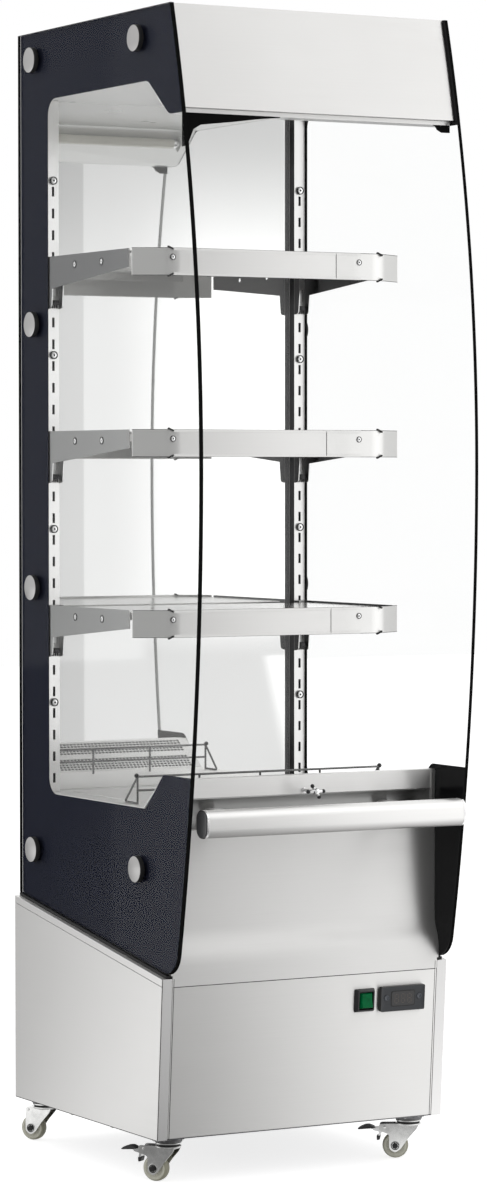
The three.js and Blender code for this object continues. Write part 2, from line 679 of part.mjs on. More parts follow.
function buildGlasses() {
  const pane = prismX(glassOutline(), GLASS_INNER_X, GLASS_OUTER_X);
  const clearing = prismX(windowOutline(), GLASS_INNER_X - OVERRUN, GLASS_INNER_X + PRINT_THICKNESS);
  const bore = SPIGOT_RADIUS + SPIGOT_CLEARANCE;
  const holes = capPlaces().map(({ y, z }) =>
    rodX(GLASS_INNER_X - OVERRUN, GLASS_OUTER_X + OVERRUN, y, z, bore, SMALL_SIDES));
  addPair('glass', cutBy(pane, [clearing, ...holes]), printedGlass);
}

function buildGaskets() {
  const frontY = BASE_FRONT_Y + SHEET;
  const strip = outline([
    [frontY, slopeHeight(frontY) + SEAT_GAP],
    [REAR_Y - SHEET, slopeHeight(REAR_Y - SHEET) + SEAT_GAP],
    [REAR_Y - SHEET, slopeHeight(REAR_Y - SHEET) + GASKET_HEIGHT - SEAT_GAP],
    [frontY, slopeHeight(frontY) + GASKET_HEIGHT - SEAT_GAP],
  ]);
  addPair('gasket', prismX(strip, GLASS_INNER_X, GLASS_OUTER_X + GASKET_PROUD), rubber);
}

function buildCaps() {
  capPlaces().forEach(({ y, z }, i) => {
    const face = GLASS_OUTER_X + SEAT_GAP;
    const end = GLASS_OUTER_X + CAP_PROUD;
    const profile = [
      [0, face], [CAP_RADIUS, face], [CAP_RADIUS, end - CAP_EDGE], [CAP_RADIUS - CAP_EDGE, end], [0, end],
    ].map(([r, x]) => new THREE.Vector2(r, x));
    const disc = new THREE.LatheGeometry(profile, ROUND_SIDES);
    disc.applyMatrix4(new THREE.Matrix4().makeRotationZ(-Math.PI / 2)).translate(0, y, z);
    const spigot = rodX(INNER_X + SEAT_GAP, face + CAP_EDGE, y, z, SPIGOT_RADIUS, SMALL_SIDES);
    addPair(`cap_${i + 1}`, solidFrom(disc).add(spigot), steel);
  });
}

function buildRearBody() {
  const coverY = REAR_Y - REAR_COVER_INSET;
  const bottom = slopeHeight(REAR_Y) + SEAT_GAP;
  const top = OVERALL_HEIGHT - COVER_TOP_DROP;
  const wallBack = WALL_Y + SHEET;
  const pan = midBlock(INNER_X, wallBack + SEAT_GAP, coverY, bottom, top);
  const inside = midBlock(INNER_X - SHEET, wallBack - OVERRUN, coverY - SHEET, bottom + SHEET, top - SHEET);
  const slots = [];
  const hoods = [];
  for (const start of [bottom + LOUVRE_LOWER_RISE, top - LOUVRE_TOP_DROP - LOUVRE_COUNT * LOUVRE_PITCH]) {
    for (let i = 0; i < LOUVRE_COUNT; i += 1) {
      const z = start + i * LOUVRE_PITCH;
      slots.push(midBlock(LOUVRE_LENGTH / 2, coverY - SHEET - OVERRUN, coverY + OVERRUN,
        z, z + LOUVRE_HEIGHT));
      const hood = outline([
        [coverY - SHEET / 2, z + LOUVRE_HEIGHT + SHEET],
        [coverY - SHEET / 2, z + LOUVRE_HEIGHT],
        [coverY + LOUVRE_PROUD - SHEET / 2, z + SHEET / 2],
        [coverY + LOUVRE_PROUD, z + SHEET / 2],
        [coverY + LOUVRE_PROUD / 2, z + LOUVRE_HEIGHT + SHEET],
      ]);
      hoods.push(prismX(hood, -LOUVRE_LENGTH / 2 - SHEET, LOUVRE_LENGTH / 2 + SHEET));
    }
  }
  addPart('rear_cover', joined([cutBy(pan, [inside, ...slots]), ...hoods]), steel);
  addPart('rear_wall', midBlock(INNER_X, WALL_Y, wallBack, bottom, top), polished);
}

// Height of the middle of the slot that is n places above the one a shelf tops out in
function slotHeight(n) {
  return LOWEST_SHELF_HEIGHT + n * SLOT_PITCH;
}

function buildUprights() {
  const bottom = DECK_HEIGHT + SEAT_GAP;
  const top = SOFFIT_HEIGHT - SEAT_GAP;
  const left = UPRIGHT_X - UPRIGHT_WIDTH / 2;
  const right = UPRIGHT_X + UPRIGHT_WIDTH / 2;
  const back = UPRIGHT_FACE_Y + UPRIGHT_DEPTH;
  const channel = cutBy(block(left, right, UPRIGHT_FACE_Y, back, bottom, top), [
    block(left + UPRIGHT_WALL, right - UPRIGHT_WALL, UPRIGHT_FACE_Y + UPRIGHT_WALL, back + OVERRUN,
      bottom - OVERRUN, top + OVERRUN),
  ]);
  const slots = [];
  const screws = [];
  const lowest = Math.ceil((bottom + SLOT_HEIGHT - LOWEST_SHELF_HEIGHT) / SLOT_PITCH);
  const screwShift = Math.floor(SLOTS_PER_SHELF / 2) + 1;
  // The slots end below the top screw
  const highest = SHELF_COUNT * SLOTS_PER_SHELF - screwShift;
  for (let n = lowest; n <= highest; n += 1) {
    const z = slotHeight(n);
    slots.push(block(UPRIGHT_X - SLOT_WIDTH / 2, UPRIGHT_X + SLOT_WIDTH / 2, UPRIGHT_FACE_Y - OVERRUN,
      UPRIGHT_FACE_Y + UPRIGHT_WALL + OVERRUN / 2, z - SLOT_HEIGHT / 2, z + SLOT_HEIGHT / 2));
    if ((n + screwShift) % SLOTS_PER_SHELF === 0) {
      screws.push(rodY(UPRIGHT_X, UPRIGHT_FACE_Y - SCREW_HEAD_HEIGHT, UPRIGHT_FACE_Y + UPRIGHT_WALL / 2,
        z + SLOT_PITCH / 2, SCREW_HEAD_RADIUS, SMALL_SIDES));
    }
  }
  addPair('upright', joined([cutBy(channel, slots), ...screws]), steel);
}

function buildCanopy() {
  const fascia = [];
  for (let i = 0; i <= ARC_STEPS; i += 1) {
    const z = OVERALL_HEIGHT - FASCIA_HEIGHT * i / ARC_STEPS;
    fascia.push([sweepDepth(z, FASCIA_SETBACK), z]);
  }
  const lipY = fascia[ARC_STEPS][0] + FASCIA_LIP;
  const lipZ = fascia[ARC_STEPS][1];
  const path = [[REAR_Y, OVERALL_HEIGHT], ...fascia, [lipY, lipZ]];
  const cheek = [
    [WALL_Y - SEAT_GAP, OVERALL_HEIGHT - SHEET / 2],
    ...fascia.map(([y, z]) => [y + SHEET / 2, z - (z === OVERALL_HEIGHT ? SHEET / 2 : 0)]),
    [lipY, lipZ],
    ...soffitPath().slice(1, 3).reverse().map(([y, z]) => [y, z + SEAT_GAP]),
    [WALL_Y - SEAT_GAP, SOFFIT_HEIGHT + SEAT_GAP],
  ];
  const sheet = prismX(bentSheet(path, SHEET), -INNER_X, INNER_X);
  const right = prismX(outline(cheek), INNER_X - SHEET, INNER_X);
  addPart('canopy', joined([sheet, right, mirrored(right)]), steel);
}

// Lower face of the soffit in (y, z), from the rear wall to the fascia
function soffitPath() {
  const stepBottom = SOFFIT_HEIGHT - SOFFIT_STEP_DROP;
  const fasciaY = sweepDepth(stepBottom, FASCIA_SETBACK);
  const stepFront = fasciaY + SOFFIT_FRONT_DEPTH;
  return [
    [WALL_Y - SEAT_GAP, SOFFIT_HEIGHT],
    [stepFront + SOFFIT_STEP_RUN, SOFFIT_HEIGHT],
    [stepFront, stepBottom],
    [fasciaY + FASCIA_LIP + SHEET, stepBottom],
  ];
}

// Middle of the lamp tube in (y, z): below the slanted part of the soffit
function lampCentre() {
  const [, upper, lower] = soffitPath();
  const length = Math.hypot(lower[0] - upper[0], lower[1] - upper[1]);
  const along = [(lower[0] - upper[0]) / length, (lower[1] - upper[1]) / length];
  const away = LAMP_RADIUS + LAMP_STANDOFF;
  return [
    upper[0] + along[0] * LAMP_PLACE - along[1] * away,
    upper[1] + along[1] * LAMP_PLACE + along[0] * away,
  ];
}

function buildSoffit() {
  const halfWidth = INNER_X - SHEET - SEAT_GAP;
  const path = soffitPath().reverse();
  const sheet = prismX(bentSheet(path, SHEET), -halfWidth, halfWidth);
  const [lampY, lampZ] = lampCentre();
  const holderX = LAMP_HALF_LENGTH + SEAT_GAP;
  const turn = Math.atan2(SOFFIT_STEP_DROP, SOFFIT_STEP_RUN);
  const holderShape = roundedRectangle(HOLDER_WIDTH, HOLDER_REACH, HOLDER_CORNER);
  const holder = solidFrom(push(holderShape, HOLDER_LENGTH, CORNER_STEPS)
    .applyMatrix4(ALONG_X)
    .rotateX(turn)
    .translate(holderX, lampY, lampZ));
  const above = prismX(bentSheet(path, SHEET + OVERALL_HEIGHT - SOFFIT_HEIGHT), 0, INNER_X)
    .subtract(prismX(bentSheet(path, SHEET / 2), 0, INNER_X));
  const seated = cutBy(holder, [above, pinHole(holderX, lampY, lampZ)]);
  addPart('canopy_soffit', joined([sheet, seated, mirrored(seated)]), polished);
  const pinX = LAMP_HALF_LENGTH + PIN_LENGTH;
  const tube = rodX(-LAMP_HALF_LENGTH, LAMP_HALF_LENGTH, lampY, lampZ, LAMP_RADIUS, SMALL_SIDES);
  const pins = rodX(-pinX, pinX, lampY, lampZ, PIN_RADIUS);
  addPart('lamp_tube', tube.add(pins), lampGlass);
}

function pinHole(x, y, z) {
  return rodX(x - OVERRUN, x + PIN_LENGTH + SEAT_GAP, y, z, PIN_RADIUS + SEAT_GAP * 2);
}

function buildDeck() {
  const frontY = PANEL_Y + SHEET + SEAT_GAP;
  const rearY = WALL_Y - SEAT_GAP;
  const skirtFoot = DECK_HEIGHT - DECK_SKIRT;
  const underside = DECK_HEIGHT - SHEET;
  const overX = INNER_X + OVERRUN;
  const tray = cutBy(midBlock(INNER_X, frontY, rearY, skirtFoot, DECK_HEIGHT), [
    midBlock(INNER_X - SHEET, frontY - OVERRUN, rearY + OVERRUN, skirtFoot - OVERRUN, underside),
    midBlock(overX, frontY - OVERRUN, frontY + RECESS_HEIGHT / 2 + SHEET, skirtFoot - OVERRUN, underside),
  ]);
  // A raised middle stiffens the deck between the guard's feet and the uprights
  const clear = WIRE_RADIUS + DECK_RAISE_BORDER;
  const raised = midBlock(guardEnds()[1] - clear, GUARD_Y + clear, UPRIGHT_FACE_Y - DECK_RAISE_BORDER,
    DECK_HEIGHT - SHEET / 2, DECK_HEIGHT + DECK_RAISE);
  const recessCut = rodX(-overX, overX, PANEL_Y, RECESS_CENTRE, RECESS_HEIGHT / 2 + SEAT_GAP * 2,
    ROUND_SIDES);
  const slots = [];
  const slotY = PANEL_Y + SILL_LEDGE + SILL_RUN - PLENUM_SLOT_WIDTH * 2;
  for (let i = 0; i < PLENUM_SLOT_COUNT; i += 1) {
    const x = (i - (PLENUM_SLOT_COUNT - 1) / 2) * PLENUM_SLOT_PITCH;
    slots.push(midBlock(PLENUM_SLOT_LENGTH / 2, slotY, slotY + PLENUM_SLOT_WIDTH,
      underside - OVERRUN, DECK_HEIGHT + OVERRUN).translate([x, 0, 0]));
  }
  addPart('deck', cutBy(tray.add(raised), [recessCut, ...slots]), steel);
}

// Outer face of the sill in (y, z): front face, ledge, then the slanted face to the deck
function sillPath() {
  return [
    [PANEL_Y, SILL_FACE_BOTTOM],
    [PANEL_Y, SILL_TOP],
    [PANEL_Y + SILL_LEDGE, SILL_TOP],
    [PANEL_Y + SILL_LEDGE + SILL_RUN, DECK_HEIGHT + SEAT_GAP],
  ];
}

function buildSill() {
  const sheet = prismX(bentSheet(sillPath().reverse(), SHEET), -INNER_X, INNER_X);
  const faceX = INNER_X - PANEL_EAR - SEAT_GAP;
  const corners = [-1, 1].map((side) => {
    const inner = side * faceX;
    const outer = side * (INNER_X + OVERRUN);
    return block(Math.min(inner, outer), Math.max(inner, outer),
      PANEL_Y - OVERRUN, PANEL_Y + SHEET + SEAT_GAP, SILL_FACE_BOTTOM - OVERRUN, SILL_TOP - SHEET);
  });
  const slantLength = Math.hypot(SILL_RUN, SILL_HEIGHT);
  const slantTurn = Math.atan2(-SILL_HEIGHT, SILL_RUN);
  const middle = [PANEL_Y + SILL_LEDGE + SILL_RUN / 2, DECK_HEIGHT + SILL_HEIGHT / 2];
  const holes = [];
  for (let row = 0; row < GRILLE_ROWS; row += 1) {
    const along = (row - (GRILLE_ROWS - 1) / 2) * Math.min(GRILLE_ROW_PITCH, slantLength / GRILLE_ROWS);
    for (let column = 0; column < GRILLE_COLUMNS; column += 1) {
      const x = (column - (GRILLE_COLUMNS - 1) / 2) * GRILLE_PITCH;
      const box = new THREE.BoxGeometry(GRILLE_HOLE, GRILLE_HOLE_LENGTH, SHEET + OVERRUN * 2);
      box.translate(0, along, 0).rotateX(slantTurn).translate(x, middle[0], middle[1]);
      holes.push(solidFrom(box));
    }
  }
  const screwHole = rodY(0, PANEL_Y - OVERRUN, PANEL_Y + SHEET + OVERRUN, SILL_TOP - WING_RISE,
    WING_SHANK_RADIUS + SEAT_GAP * 2, SMALL_SIDES);
  const below = midBlock(INNER_X + OVERRUN, PANEL_Y - OVERRUN, PANEL_Y + SILL_LEDGE + SILL_RUN + OVERRUN,
    DECK_HEIGHT - OVERRUN, DECK_HEIGHT + SEAT_GAP);
  addPart('air_sill', cutBy(sheet, [...corners, ...holes, screwHole, below]), steel);
}

// Front face of the lower panel in (y, z): upright, then a soft curve out to the seam
function panelPath() {
  const footY = leanDepth(SEAM_HEIGHT);
  const bendY = leanDepth(PANEL_CURVE_END);
  const path = new THREE.Path();
  path.moveTo(PANEL_Y, PANEL_CURVE_TOP);
  const middle = (PANEL_CURVE_TOP + PANEL_CURVE_END) / 2;
  path.bezierCurveTo(PANEL_Y, middle, bendY, middle, bendY, PANEL_CURVE_END);
  const curve = path.getPoints(PANEL_CURVE_POINTS).map((p) => [p.x, p.y]);
  return [[PANEL_Y, SILL_TOP - SHEET - SEAT_GAP], ...curve, [footY, SEAM_HEIGHT + SEAT_GAP]];
}

function buildFrontPanel() {
  const path = panelPath();
  const sheet = prismX(bentSheet(path, SHEET), -INNER_X, INNER_X);
  const lower = path.map(([y, z]) => [y, Math.min(z, PANEL_SHOULDER)]);
  const side = prismX(bentSheet(lower, PANEL_RETURN), INNER_X - SHEET, INNER_X);
  const earX = INNER_X - PANEL_EAR;
  const window = midBlock(earX, PANEL_Y - OVERRUN, PANEL_Y + PANEL_RETURN + OVERRUN,
    PANEL_SHOULDER, SILL_TOP + OVERRUN);
  const footX = BASE_SIDE_X - POST_WIDTH - SEAT_GAP;
  const footTop = slopeHeight(PANEL_Y + PANEL_RETURN) + SEAT_GAP;
  const foot = block(footX, INNER_X + OVERRUN, BASE_FRONT_Y - OVERRUN, PANEL_Y + PANEL_RETURN + OVERRUN,
    SEAM_HEIGHT - OVERRUN, footTop);
  const panel = joined([sheet, side, mirrored(side)]);
  addPart('front_panel', cutBy(panel, [window, foot, mirrored(foot)]), steel);
  const recessX = earX - SEAT_GAP;
  const innerX = recessX - SHEET;
  const outer = rodX(-recessX, recessX, PANEL_Y, RECESS_CENTRE, RECESS_HEIGHT / 2, ROUND_SIDES);
  const inner = rodX(-innerX, innerX, PANEL_Y, RECESS_CENTRE, RECESS_HEIGHT / 2 - SHEET, ROUND_SIDES);
  const front = midBlock(recessX + OVERRUN, PANEL_Y - RECESS_HEIGHT, PANEL_Y,
    RECESS_BOTTOM - OVERRUN, RECESS_TOP + OVERRUN);
  addPart('grip_recess', cutBy(outer, [inner, front]), darkSteel);
}

function buildBar() {
  const centreY = FRONT_Y + BAR_SETBACK + BAR_DEPTH / 2;
  const section = roundedRectangle(BAR_DEPTH, BAR_HEIGHT, BAR_CORNER);
  const bar = prismX(section, -BAR_HALF_LENGTH, BAR_HALF_LENGTH, BAR_STEPS)
    .translate([0, centreY, BAR_CENTRE_HEIGHT]);
  const armZ = BAR_CENTRE_HEIGHT + ARM_RISE;
  const reach = RECESS_HEIGHT / 2 - SHEET - SEAT_GAP;
  const arms = [-1, 1].map((side) => {
    const x0 = side * (BAR_HALF_LENGTH - ARM_END_INSET) - ARM_WIDTH / 2;
    const x1 = x0 + ARM_WIDTH;
    const outside = block(x0, x1, centreY, PANEL_Y + SEAT_GAP, armZ, armZ + ARM_THICKNESS);
    const inside = block(x0, x1, PANEL_Y, PANEL_Y + RECESS_HEIGHT, armZ, armZ + ARM_THICKNESS)
      .intersect(rodX(x0 - OVERRUN, x1 + OVERRUN, PANEL_Y, RECESS_CENTRE, reach, ROUND_SIDES));
    return outside.add(inside);
  });
  addPart('handle_bar', joined([bar, ...arms]), steel);
}

function buildWingScrew() {
  const z = SILL_TOP - WING_RISE;
  const face = PANEL_Y - SEAT_GAP;
  const hub = rodY(0, face - WING_HUB_LENGTH, face, z, WING_HUB_RADIUS, SMALL_SIDES);
  const shank = rodY(0, face - WING_HUB_LENGTH / 2, face + WING_SHANK_LENGTH, z, WING_SHANK_RADIUS,
    SMALL_SIDES);
  const half = WING_SPAN / 2;
  const wing = new THREE.Shape();
  wing.moveTo(0, WING_HUB_LENGTH / 2);
  wing.lineTo(WING_HUB_RADIUS, WING_HUB_LENGTH / 2);
  wing.lineTo(half, WING_REACH - WING_HEIGHT);
  wing.lineTo(half, WING_REACH - WING_HEIGHT / 2);
  wing.quadraticCurveTo(half, WING_REACH, half - WING_HEIGHT / 2, WING_REACH);
  wing.lineTo(WING_HUB_RADIUS, WING_HUB_LENGTH);
  wing.lineTo(0, WING_HUB_LENGTH);
  const flat = push(wing, WING_THICKNESS, CORNER_STEPS).rotateX(Math.PI);
  const blade = solidFrom(flat).translate([0, face, z + WING_THICKNESS / 2]);
  addPart('wing_screw', joined([hub, shank, blade, mirrored(blade)]), chrome);
}

function shelfHeights() {
  return Array.from({ length: SHELF_COUNT }, (_, i) => LOWEST_SHELF_HEIGHT + i * SHELF_PITCH);
}

// Plan of the front band: a straight front with a slanted return at each end
function bandPlan(inset) {
  const end = INNER_X - SEAT_GAP - inset;
  return [
    [-end, BAND_Y + RETURN_DEPTH],
    [-end + RETURN_RUN, BAND_Y],
    [end - RETURN_RUN, BAND_Y],
    [end, BAND_Y + RETURN_DEPTH],
  ];
}

function buildShelf(index, top) {
  const band = prismZ(bentSheet(bandPlan(0), SHEET), top - BAND_HEIGHT, top);
  const trayTop = top - TRAY_DROP;
  const trayX = bracketPlateX() - SEAT_GAP;
  const frontY = BAND_Y + SHEET / 2;
  const lean = RETURN_DEPTH / RETURN_RUN;
  const cornerX = INNER_X - SEAT_GAP - RETURN_RUN;
  const sideY = frontY + (trayX - cornerX) * lean;
  const tray = prismZ(outline([
    [-cornerX, frontY], [cornerX, frontY], [trayX, sideY],
    [trayX, TRAY_REAR_Y], [-trayX, TRAY_REAR_Y], [-trayX, sideY],
  ]), trayTop - SHEET, trayTop);
  addPart(`shelf_${index}`, band.add(tray), steel);
}

// Inner face of the bracket's arm
function bracketPlateX() {
  return UPRIGHT_OUTER_X - SHEET;
}

function buildBracket(index, top) {
  const webBack = UPRIGHT_FACE_Y - SEAT_GAP;
  const webFront = webBack - SHEET;
  const plateX = bracketPlateX();
  const innerX = UPRIGHT_OUTER_X - UPRIGHT_WIDTH;
  const cheekY = webFront - BRACKET_CHEEK;
  const hookBottom = top - BRACKET_HOOK_HEIGHT;
  const windowZ = top - SLOT_PITCH * HOOKED_SLOTS.reduce((sum, below) => sum + below) / HOOKED_SLOTS.length;
  const armFront = BAND_Y + RETURN_DEPTH + BRACKET_END_GAP;
  const arm = prismX(armOutline(top, webBack, cheekY, hookBottom, armFront), plateX, plateX + SHEET);
  const inner = prismX(cheekOutline(top, webBack, cheekY, hookBottom), innerX, innerX + SHEET);
  const web = cutBy(block(innerX, plateX + SHEET, webFront, webBack, hookBottom, top), [
    block(UPRIGHT_X - BRACKET_WINDOW_WIDTH / 2, UPRIGHT_X + BRACKET_WINDOW_WIDTH / 2, webFront - OVERRUN,
      webBack + OVERRUN, windowZ - BRACKET_WINDOW_HEIGHT / 2, windowZ + BRACKET_WINDOW_HEIGHT / 2),
  ]);
  const ledgeTop = top - TRAY_DROP - SHEET - SEAT_GAP;
  const ledge = block(plateX - LEDGE_FLANGE, plateX + SHEET / 2,
    armFront, cheekY - SEAT_GAP, ledgeTop - SHEET, ledgeTop);
  const overX = plateX + SHEET + OVERRUN;
  const holes = BRACKET_HOLE_SHARES.map((share) => {
    const y = armFront + (webFront - armFront) * share;
    return rodX(plateX - OVERRUN, overX, y, top - BRACKET_HOLE_DROP, BRACKET_HOLE_RADIUS, SMALL_SIDES);
  });
  const hooks = HOOKED_SLOTS.map((below) => hook(top - below * SLOT_PITCH, webFront));
  addPair(`bracket_${index}`, joined([cutBy(joined([arm, inner, web, ledge]), holes), ...hooks]), steel);
}

function armOutline(top, webBack, cheekY, hookBottom, armFront) {
  const shape = new THREE.Shape();
  shape.moveTo(webBack, top);
  shape.lineTo(armFront, top);
  shape.lineTo(armFront, top - BRACKET_FRONT_HEIGHT);
  shape.lineTo(cheekY, top - BRACKET_REAR_HEIGHT);
  shape.lineTo(cheekY + BRACKET_FOOT / 2, hookBottom + BRACKET_FOOT);
  shape.quadraticCurveTo(cheekY + BRACKET_FOOT / 2, hookBottom, webBack - SHEET, hookBottom);
  shape.lineTo(webBack, hookBottom);
  return shape;
}

function cheekOutline(top, webBack, cheekY, hookBottom) {
  const shape = new THREE.Shape();
  shape.moveTo(webBack, top);
  shape.lineTo(cheekY, top);
  shape.lineTo(cheekY, top - BRACKET_REAR_HEIGHT);
  shape.lineTo(cheekY + BRACKET_FOOT / 2, hookBottom + BRACKET_FOOT);
  shape.quadraticCurveTo(cheekY + BRACKET_FOOT / 2, hookBottom, webBack - SHEET, hookBottom);
  shape.lineTo(webBack, hookBottom);
  return shape;
}

// A hook that rests on the foot of one slot and drops behind the upright's face
function hook(slotZ, webFront) {
  const neckBottom = slotZ - SLOT_HEIGHT / 2 + SEAT_GAP;
  const neckTop = neckBottom + HOOK_NECK_HEIGHT;
  const toothFront = UPRIGHT_FACE_Y + UPRIGHT_WALL + SEAT_GAP;
  const toothBack = toothFront + HOOK_THICKNESS;
  const shape = outline([
    [webFront + SHEET / 2, neckBottom],
    [toothFront, neckBottom],
    [toothFront, neckBottom - HOOK_TOOTH_DROP],
    [toothBack, neckBottom - HOOK_TOOTH_DROP],
    [toothBack, neckTop],
    [webFront + SHEET / 2, neckTop],
  ]);
  return prismX(shape, UPRIGHT_X - HOOK_THICKNESS / 2, UPRIGHT_X + HOOK_THICKNESS / 2);
}

// Places in x of the guard's two end posts
function guardEnds() {
  const halfSpan = GUARD_POST_PITCH * (GUARD_POSTS - 1) / 2;
  return [-GUARD_OFFSET - halfSpan, -GUARD_OFFSET + halfSpan];
}

function buildGuard() {
  const low = DECK_HEIGHT + SEAT_GAP;
  const rail = low + GUARD_HEIGHT - WIRE_RADIUS;
  const middle = low + GUARD_MID_HEIGHT;
  const [first, last] = guardEnds();
  const wires = [
    rodX(first, last, GUARD_Y, rail, WIRE_RADIUS),
    rodX(first, last, GUARD_Y, middle, WIRE_RADIUS),
  ];
  for (let i = 0; i < GUARD_POSTS; i += 1) {
    const x = first + i * GUARD_POST_PITCH;
    wires.push(rodZ(x, GUARD_Y, low, rail + WIRE_RADIUS, WIRE_RADIUS));
  }
  for (const x of [first, last]) {
    const foot = point(x, GUARD_Y + GUARD_LEG_RUN, low + WIRE_RADIUS);
    wires.push(rod(point(x, GUARD_Y, rail), foot, WIRE_RADIUS));
    wires.push(rod(foot, point(x, GUARD_Y, low + WIRE_RADIUS), WIRE_RADIUS));
  }
  addPart('wire_guard', joined(wires), chrome);
}

function buildControls() {
  const plate = bezelSolid(SWITCH_WIDTH, SWITCH_HEIGHT, SWITCH_PROUD);
  const body = midBlock(SWITCH_BODY_WIDTH / 2, -SWITCH_PROUD, SWITCH_BODY_DEPTH,
    -SWITCH_BODY_HEIGHT / 2, SWITCH_BODY_HEIGHT / 2);
  const wellX = ROCKER_WIDTH / 2 + ROCKER_CLEARANCE;
  const wellZ = ROCKER_HEIGHT / 2 + ROCKER_CLEARANCE;
  const well = midBlock(wellX, -SWITCH_PROUD - OVERRUN, -SWITCH_PROUD + ROCKER_WELL_DEPTH, -wellZ, wellZ);
  addPart('switch_bezel', onLean(cutBy(plate.add(body), [well]), SWITCH_X), blackPlastic);
  addPart('rocker', onLean(rockerSolid(), SWITCH_X), greenPlastic);

  const bezel = bezelSolid(CONTROLLER_WIDTH, CONTROLLER_HEIGHT, CONTROLLER_PROUD);
  const housing = midBlock(CONTROLLER_BODY_WIDTH / 2, -CONTROLLER_PROUD / 2, CONTROLLER_BODY_DEPTH,
    -CONTROLLER_BODY_HEIGHT / 2, CONTROLLER_BODY_HEIGHT / 2);
  const face = -SEAT_GAP - CONTROLLER_PROUD;
  const display = midBlock(DISPLAY_WIDTH / 2, face - OVERRUN, face + DISPLAY_RECESS,
    -DISPLAY_HEIGHT / 2, DISPLAY_HEIGHT / 2);
  const pocketBack = face + KEY_DEPTH + KEY_TRAVEL_ROOM;
  const pockets = keyCentres().map((x) =>
    rodY(x, face - OVERRUN, pocketBack, 0, KEY_RADIUS + SEAT_GAP, ROUND_SIDES));
  const caseSolid = cutBy(bezel.add(housing), [display, ...pockets]);
  addPart('controller', onLean(caseSolid, CONTROLLER_X), blackPlastic);
  keyCentres().forEach((x, i) => {
    const key = rodY(x, face - KEY_PROUD, face + KEY_DEPTH, 0, KEY_RADIUS, ROUND_SIDES);
    addPart(i === 0 ? 'left_key' : 'right_key', onLean(key, CONTROLLER_X), blackPlastic);
  });
}

// Front plate of a control, with its back a seat gap in front of the cover
function bezelSolid(width, height, proud) {
  const plate = push(roundedRectangle(width, height, CONTROLLER_CORNER), proud, CORNER_STEPS);
  return solidFrom(plate.applyMatrix4(ALONG_Y).translate(0, -SEAT_GAP, 0));
}

function keyCentres() {
  return [-KEY_SPACING / 2, KEY_SPACING / 2];
}

// Rocker pressed at its top: a shallow V face between two ends that are round about the pivot
function rockerSolid() {
  const radius = ROCKER_HEIGHT / 2;
  const rise = Math.asin(ROCKER_CROWN / radius);
  const fall = Math.asin(ROCKER_DEPTH / 2 / radius);
  const shape = new THREE.Shape();
  shape.moveTo(-ROCKER_CROWN / 2, 0);
  shape.absarc(0, 0, radius, Math.PI / 2 + rise, Math.PI / 2 - fall, true);
  shape.quadraticCurveTo(ROCKER_DEPTH, 0, ROCKER_DEPTH / 2, -radius * Math.cos(fall));
  shape.absarc(0, 0, radius, -Math.PI / 2 + fall, -Math.PI / 2 - rise, true);
  const cap = prismX(shape, -ROCKER_WIDTH / 2, ROCKER_WIDTH / 2, BLADE_STEPS);
  const pinX = ROCKER_WIDTH / 2 + ROCKER_CLEARANCE - SEAT_GAP;
  const pin = rodX(-pinX, pinX, 0, 0, ROCKER_PIN_RADIUS, SMALL_SIDES);
  return cap.add(pin).rotate([-ROCKER_TILT, 0, 0]).translate([0, ROCKER_PIVOT_DEPTH - SWITCH_PROUD, 0]);
}

function forkSolid(withPedal) {
  const cheekInner = WHEEL_WIDTH / 2 + CHEEK_CLEARANCE;
  const cheekOuter = cheekInner + CHEEK_THICKNESS;
  const crownBottom = CROWN_TOP - CROWN_HEIGHT;
  const lugX = withPedal ? PEDAL_PIVOT_X + CHEEK_FOOT_RADIUS : TRAIL + CHEEK_FOOT_RADIUS;
  const cheek = new THREE.Shape();
  cheek.moveTo(CROWN_RADIUS - CHEEK_THICKNESS, crownBottom + CHEEK_THICKNESS);
  cheek.lineTo(-TRAIL + CHEEK_FOOT_RADIUS, WHEEL_RADIUS - CHEEK_FOOT_RADIUS / 2);
  cheek.absarc(-TRAIL, WHEEL_RADIUS, CHEEK_FOOT_RADIUS, -Math.PI / 6, -Math.PI, true);
  cheek.lineTo(-TRAIL - CHEEK_FOOT_RADIUS, WHEEL_RADIUS * 2 - CHEEK_THICKNESS);
  cheek.lineTo(-lugX, WHEEL_RADIUS * 2 + CHEEK_THICKNESS);
  cheek.lineTo(-lugX, crownBottom);
  cheek.lineTo(-CROWN_RADIUS + CHEEK_THICKNESS, crownBottom + CHEEK_THICKNESS);
  const nutEnd = cheekOuter + NUT_HEIGHT;
  const plate = prismY(cheek, cheekInner, cheekOuter, CHEEK_STEPS);
  const crown = rodZ(0, 0, crownBottom, CROWN_TOP, CROWN_RADIUS, ROUND_SIDES);
  const bridge = midBlock(CROWN_RADIUS / 2, -cheekOuter, cheekOuter,
    crownBottom, crownBottom + CHEEK_THICKNESS);
  const axle = rodY(-TRAIL, -nutEnd, nutEnd, WHEEL_RADIUS, AXLE_RADIUS, AXLE_SIDES);
  const nut = rodY(-TRAIL, cheekOuter, nutEnd, WHEEL_RADIUS, NUT_RADIUS, NUT_SIDES);
  const flip = [0, 1, 0];
  return joined([plate, plate.mirror(flip), crown, bridge, axle, nut, nut.mirror(flip)]);
}

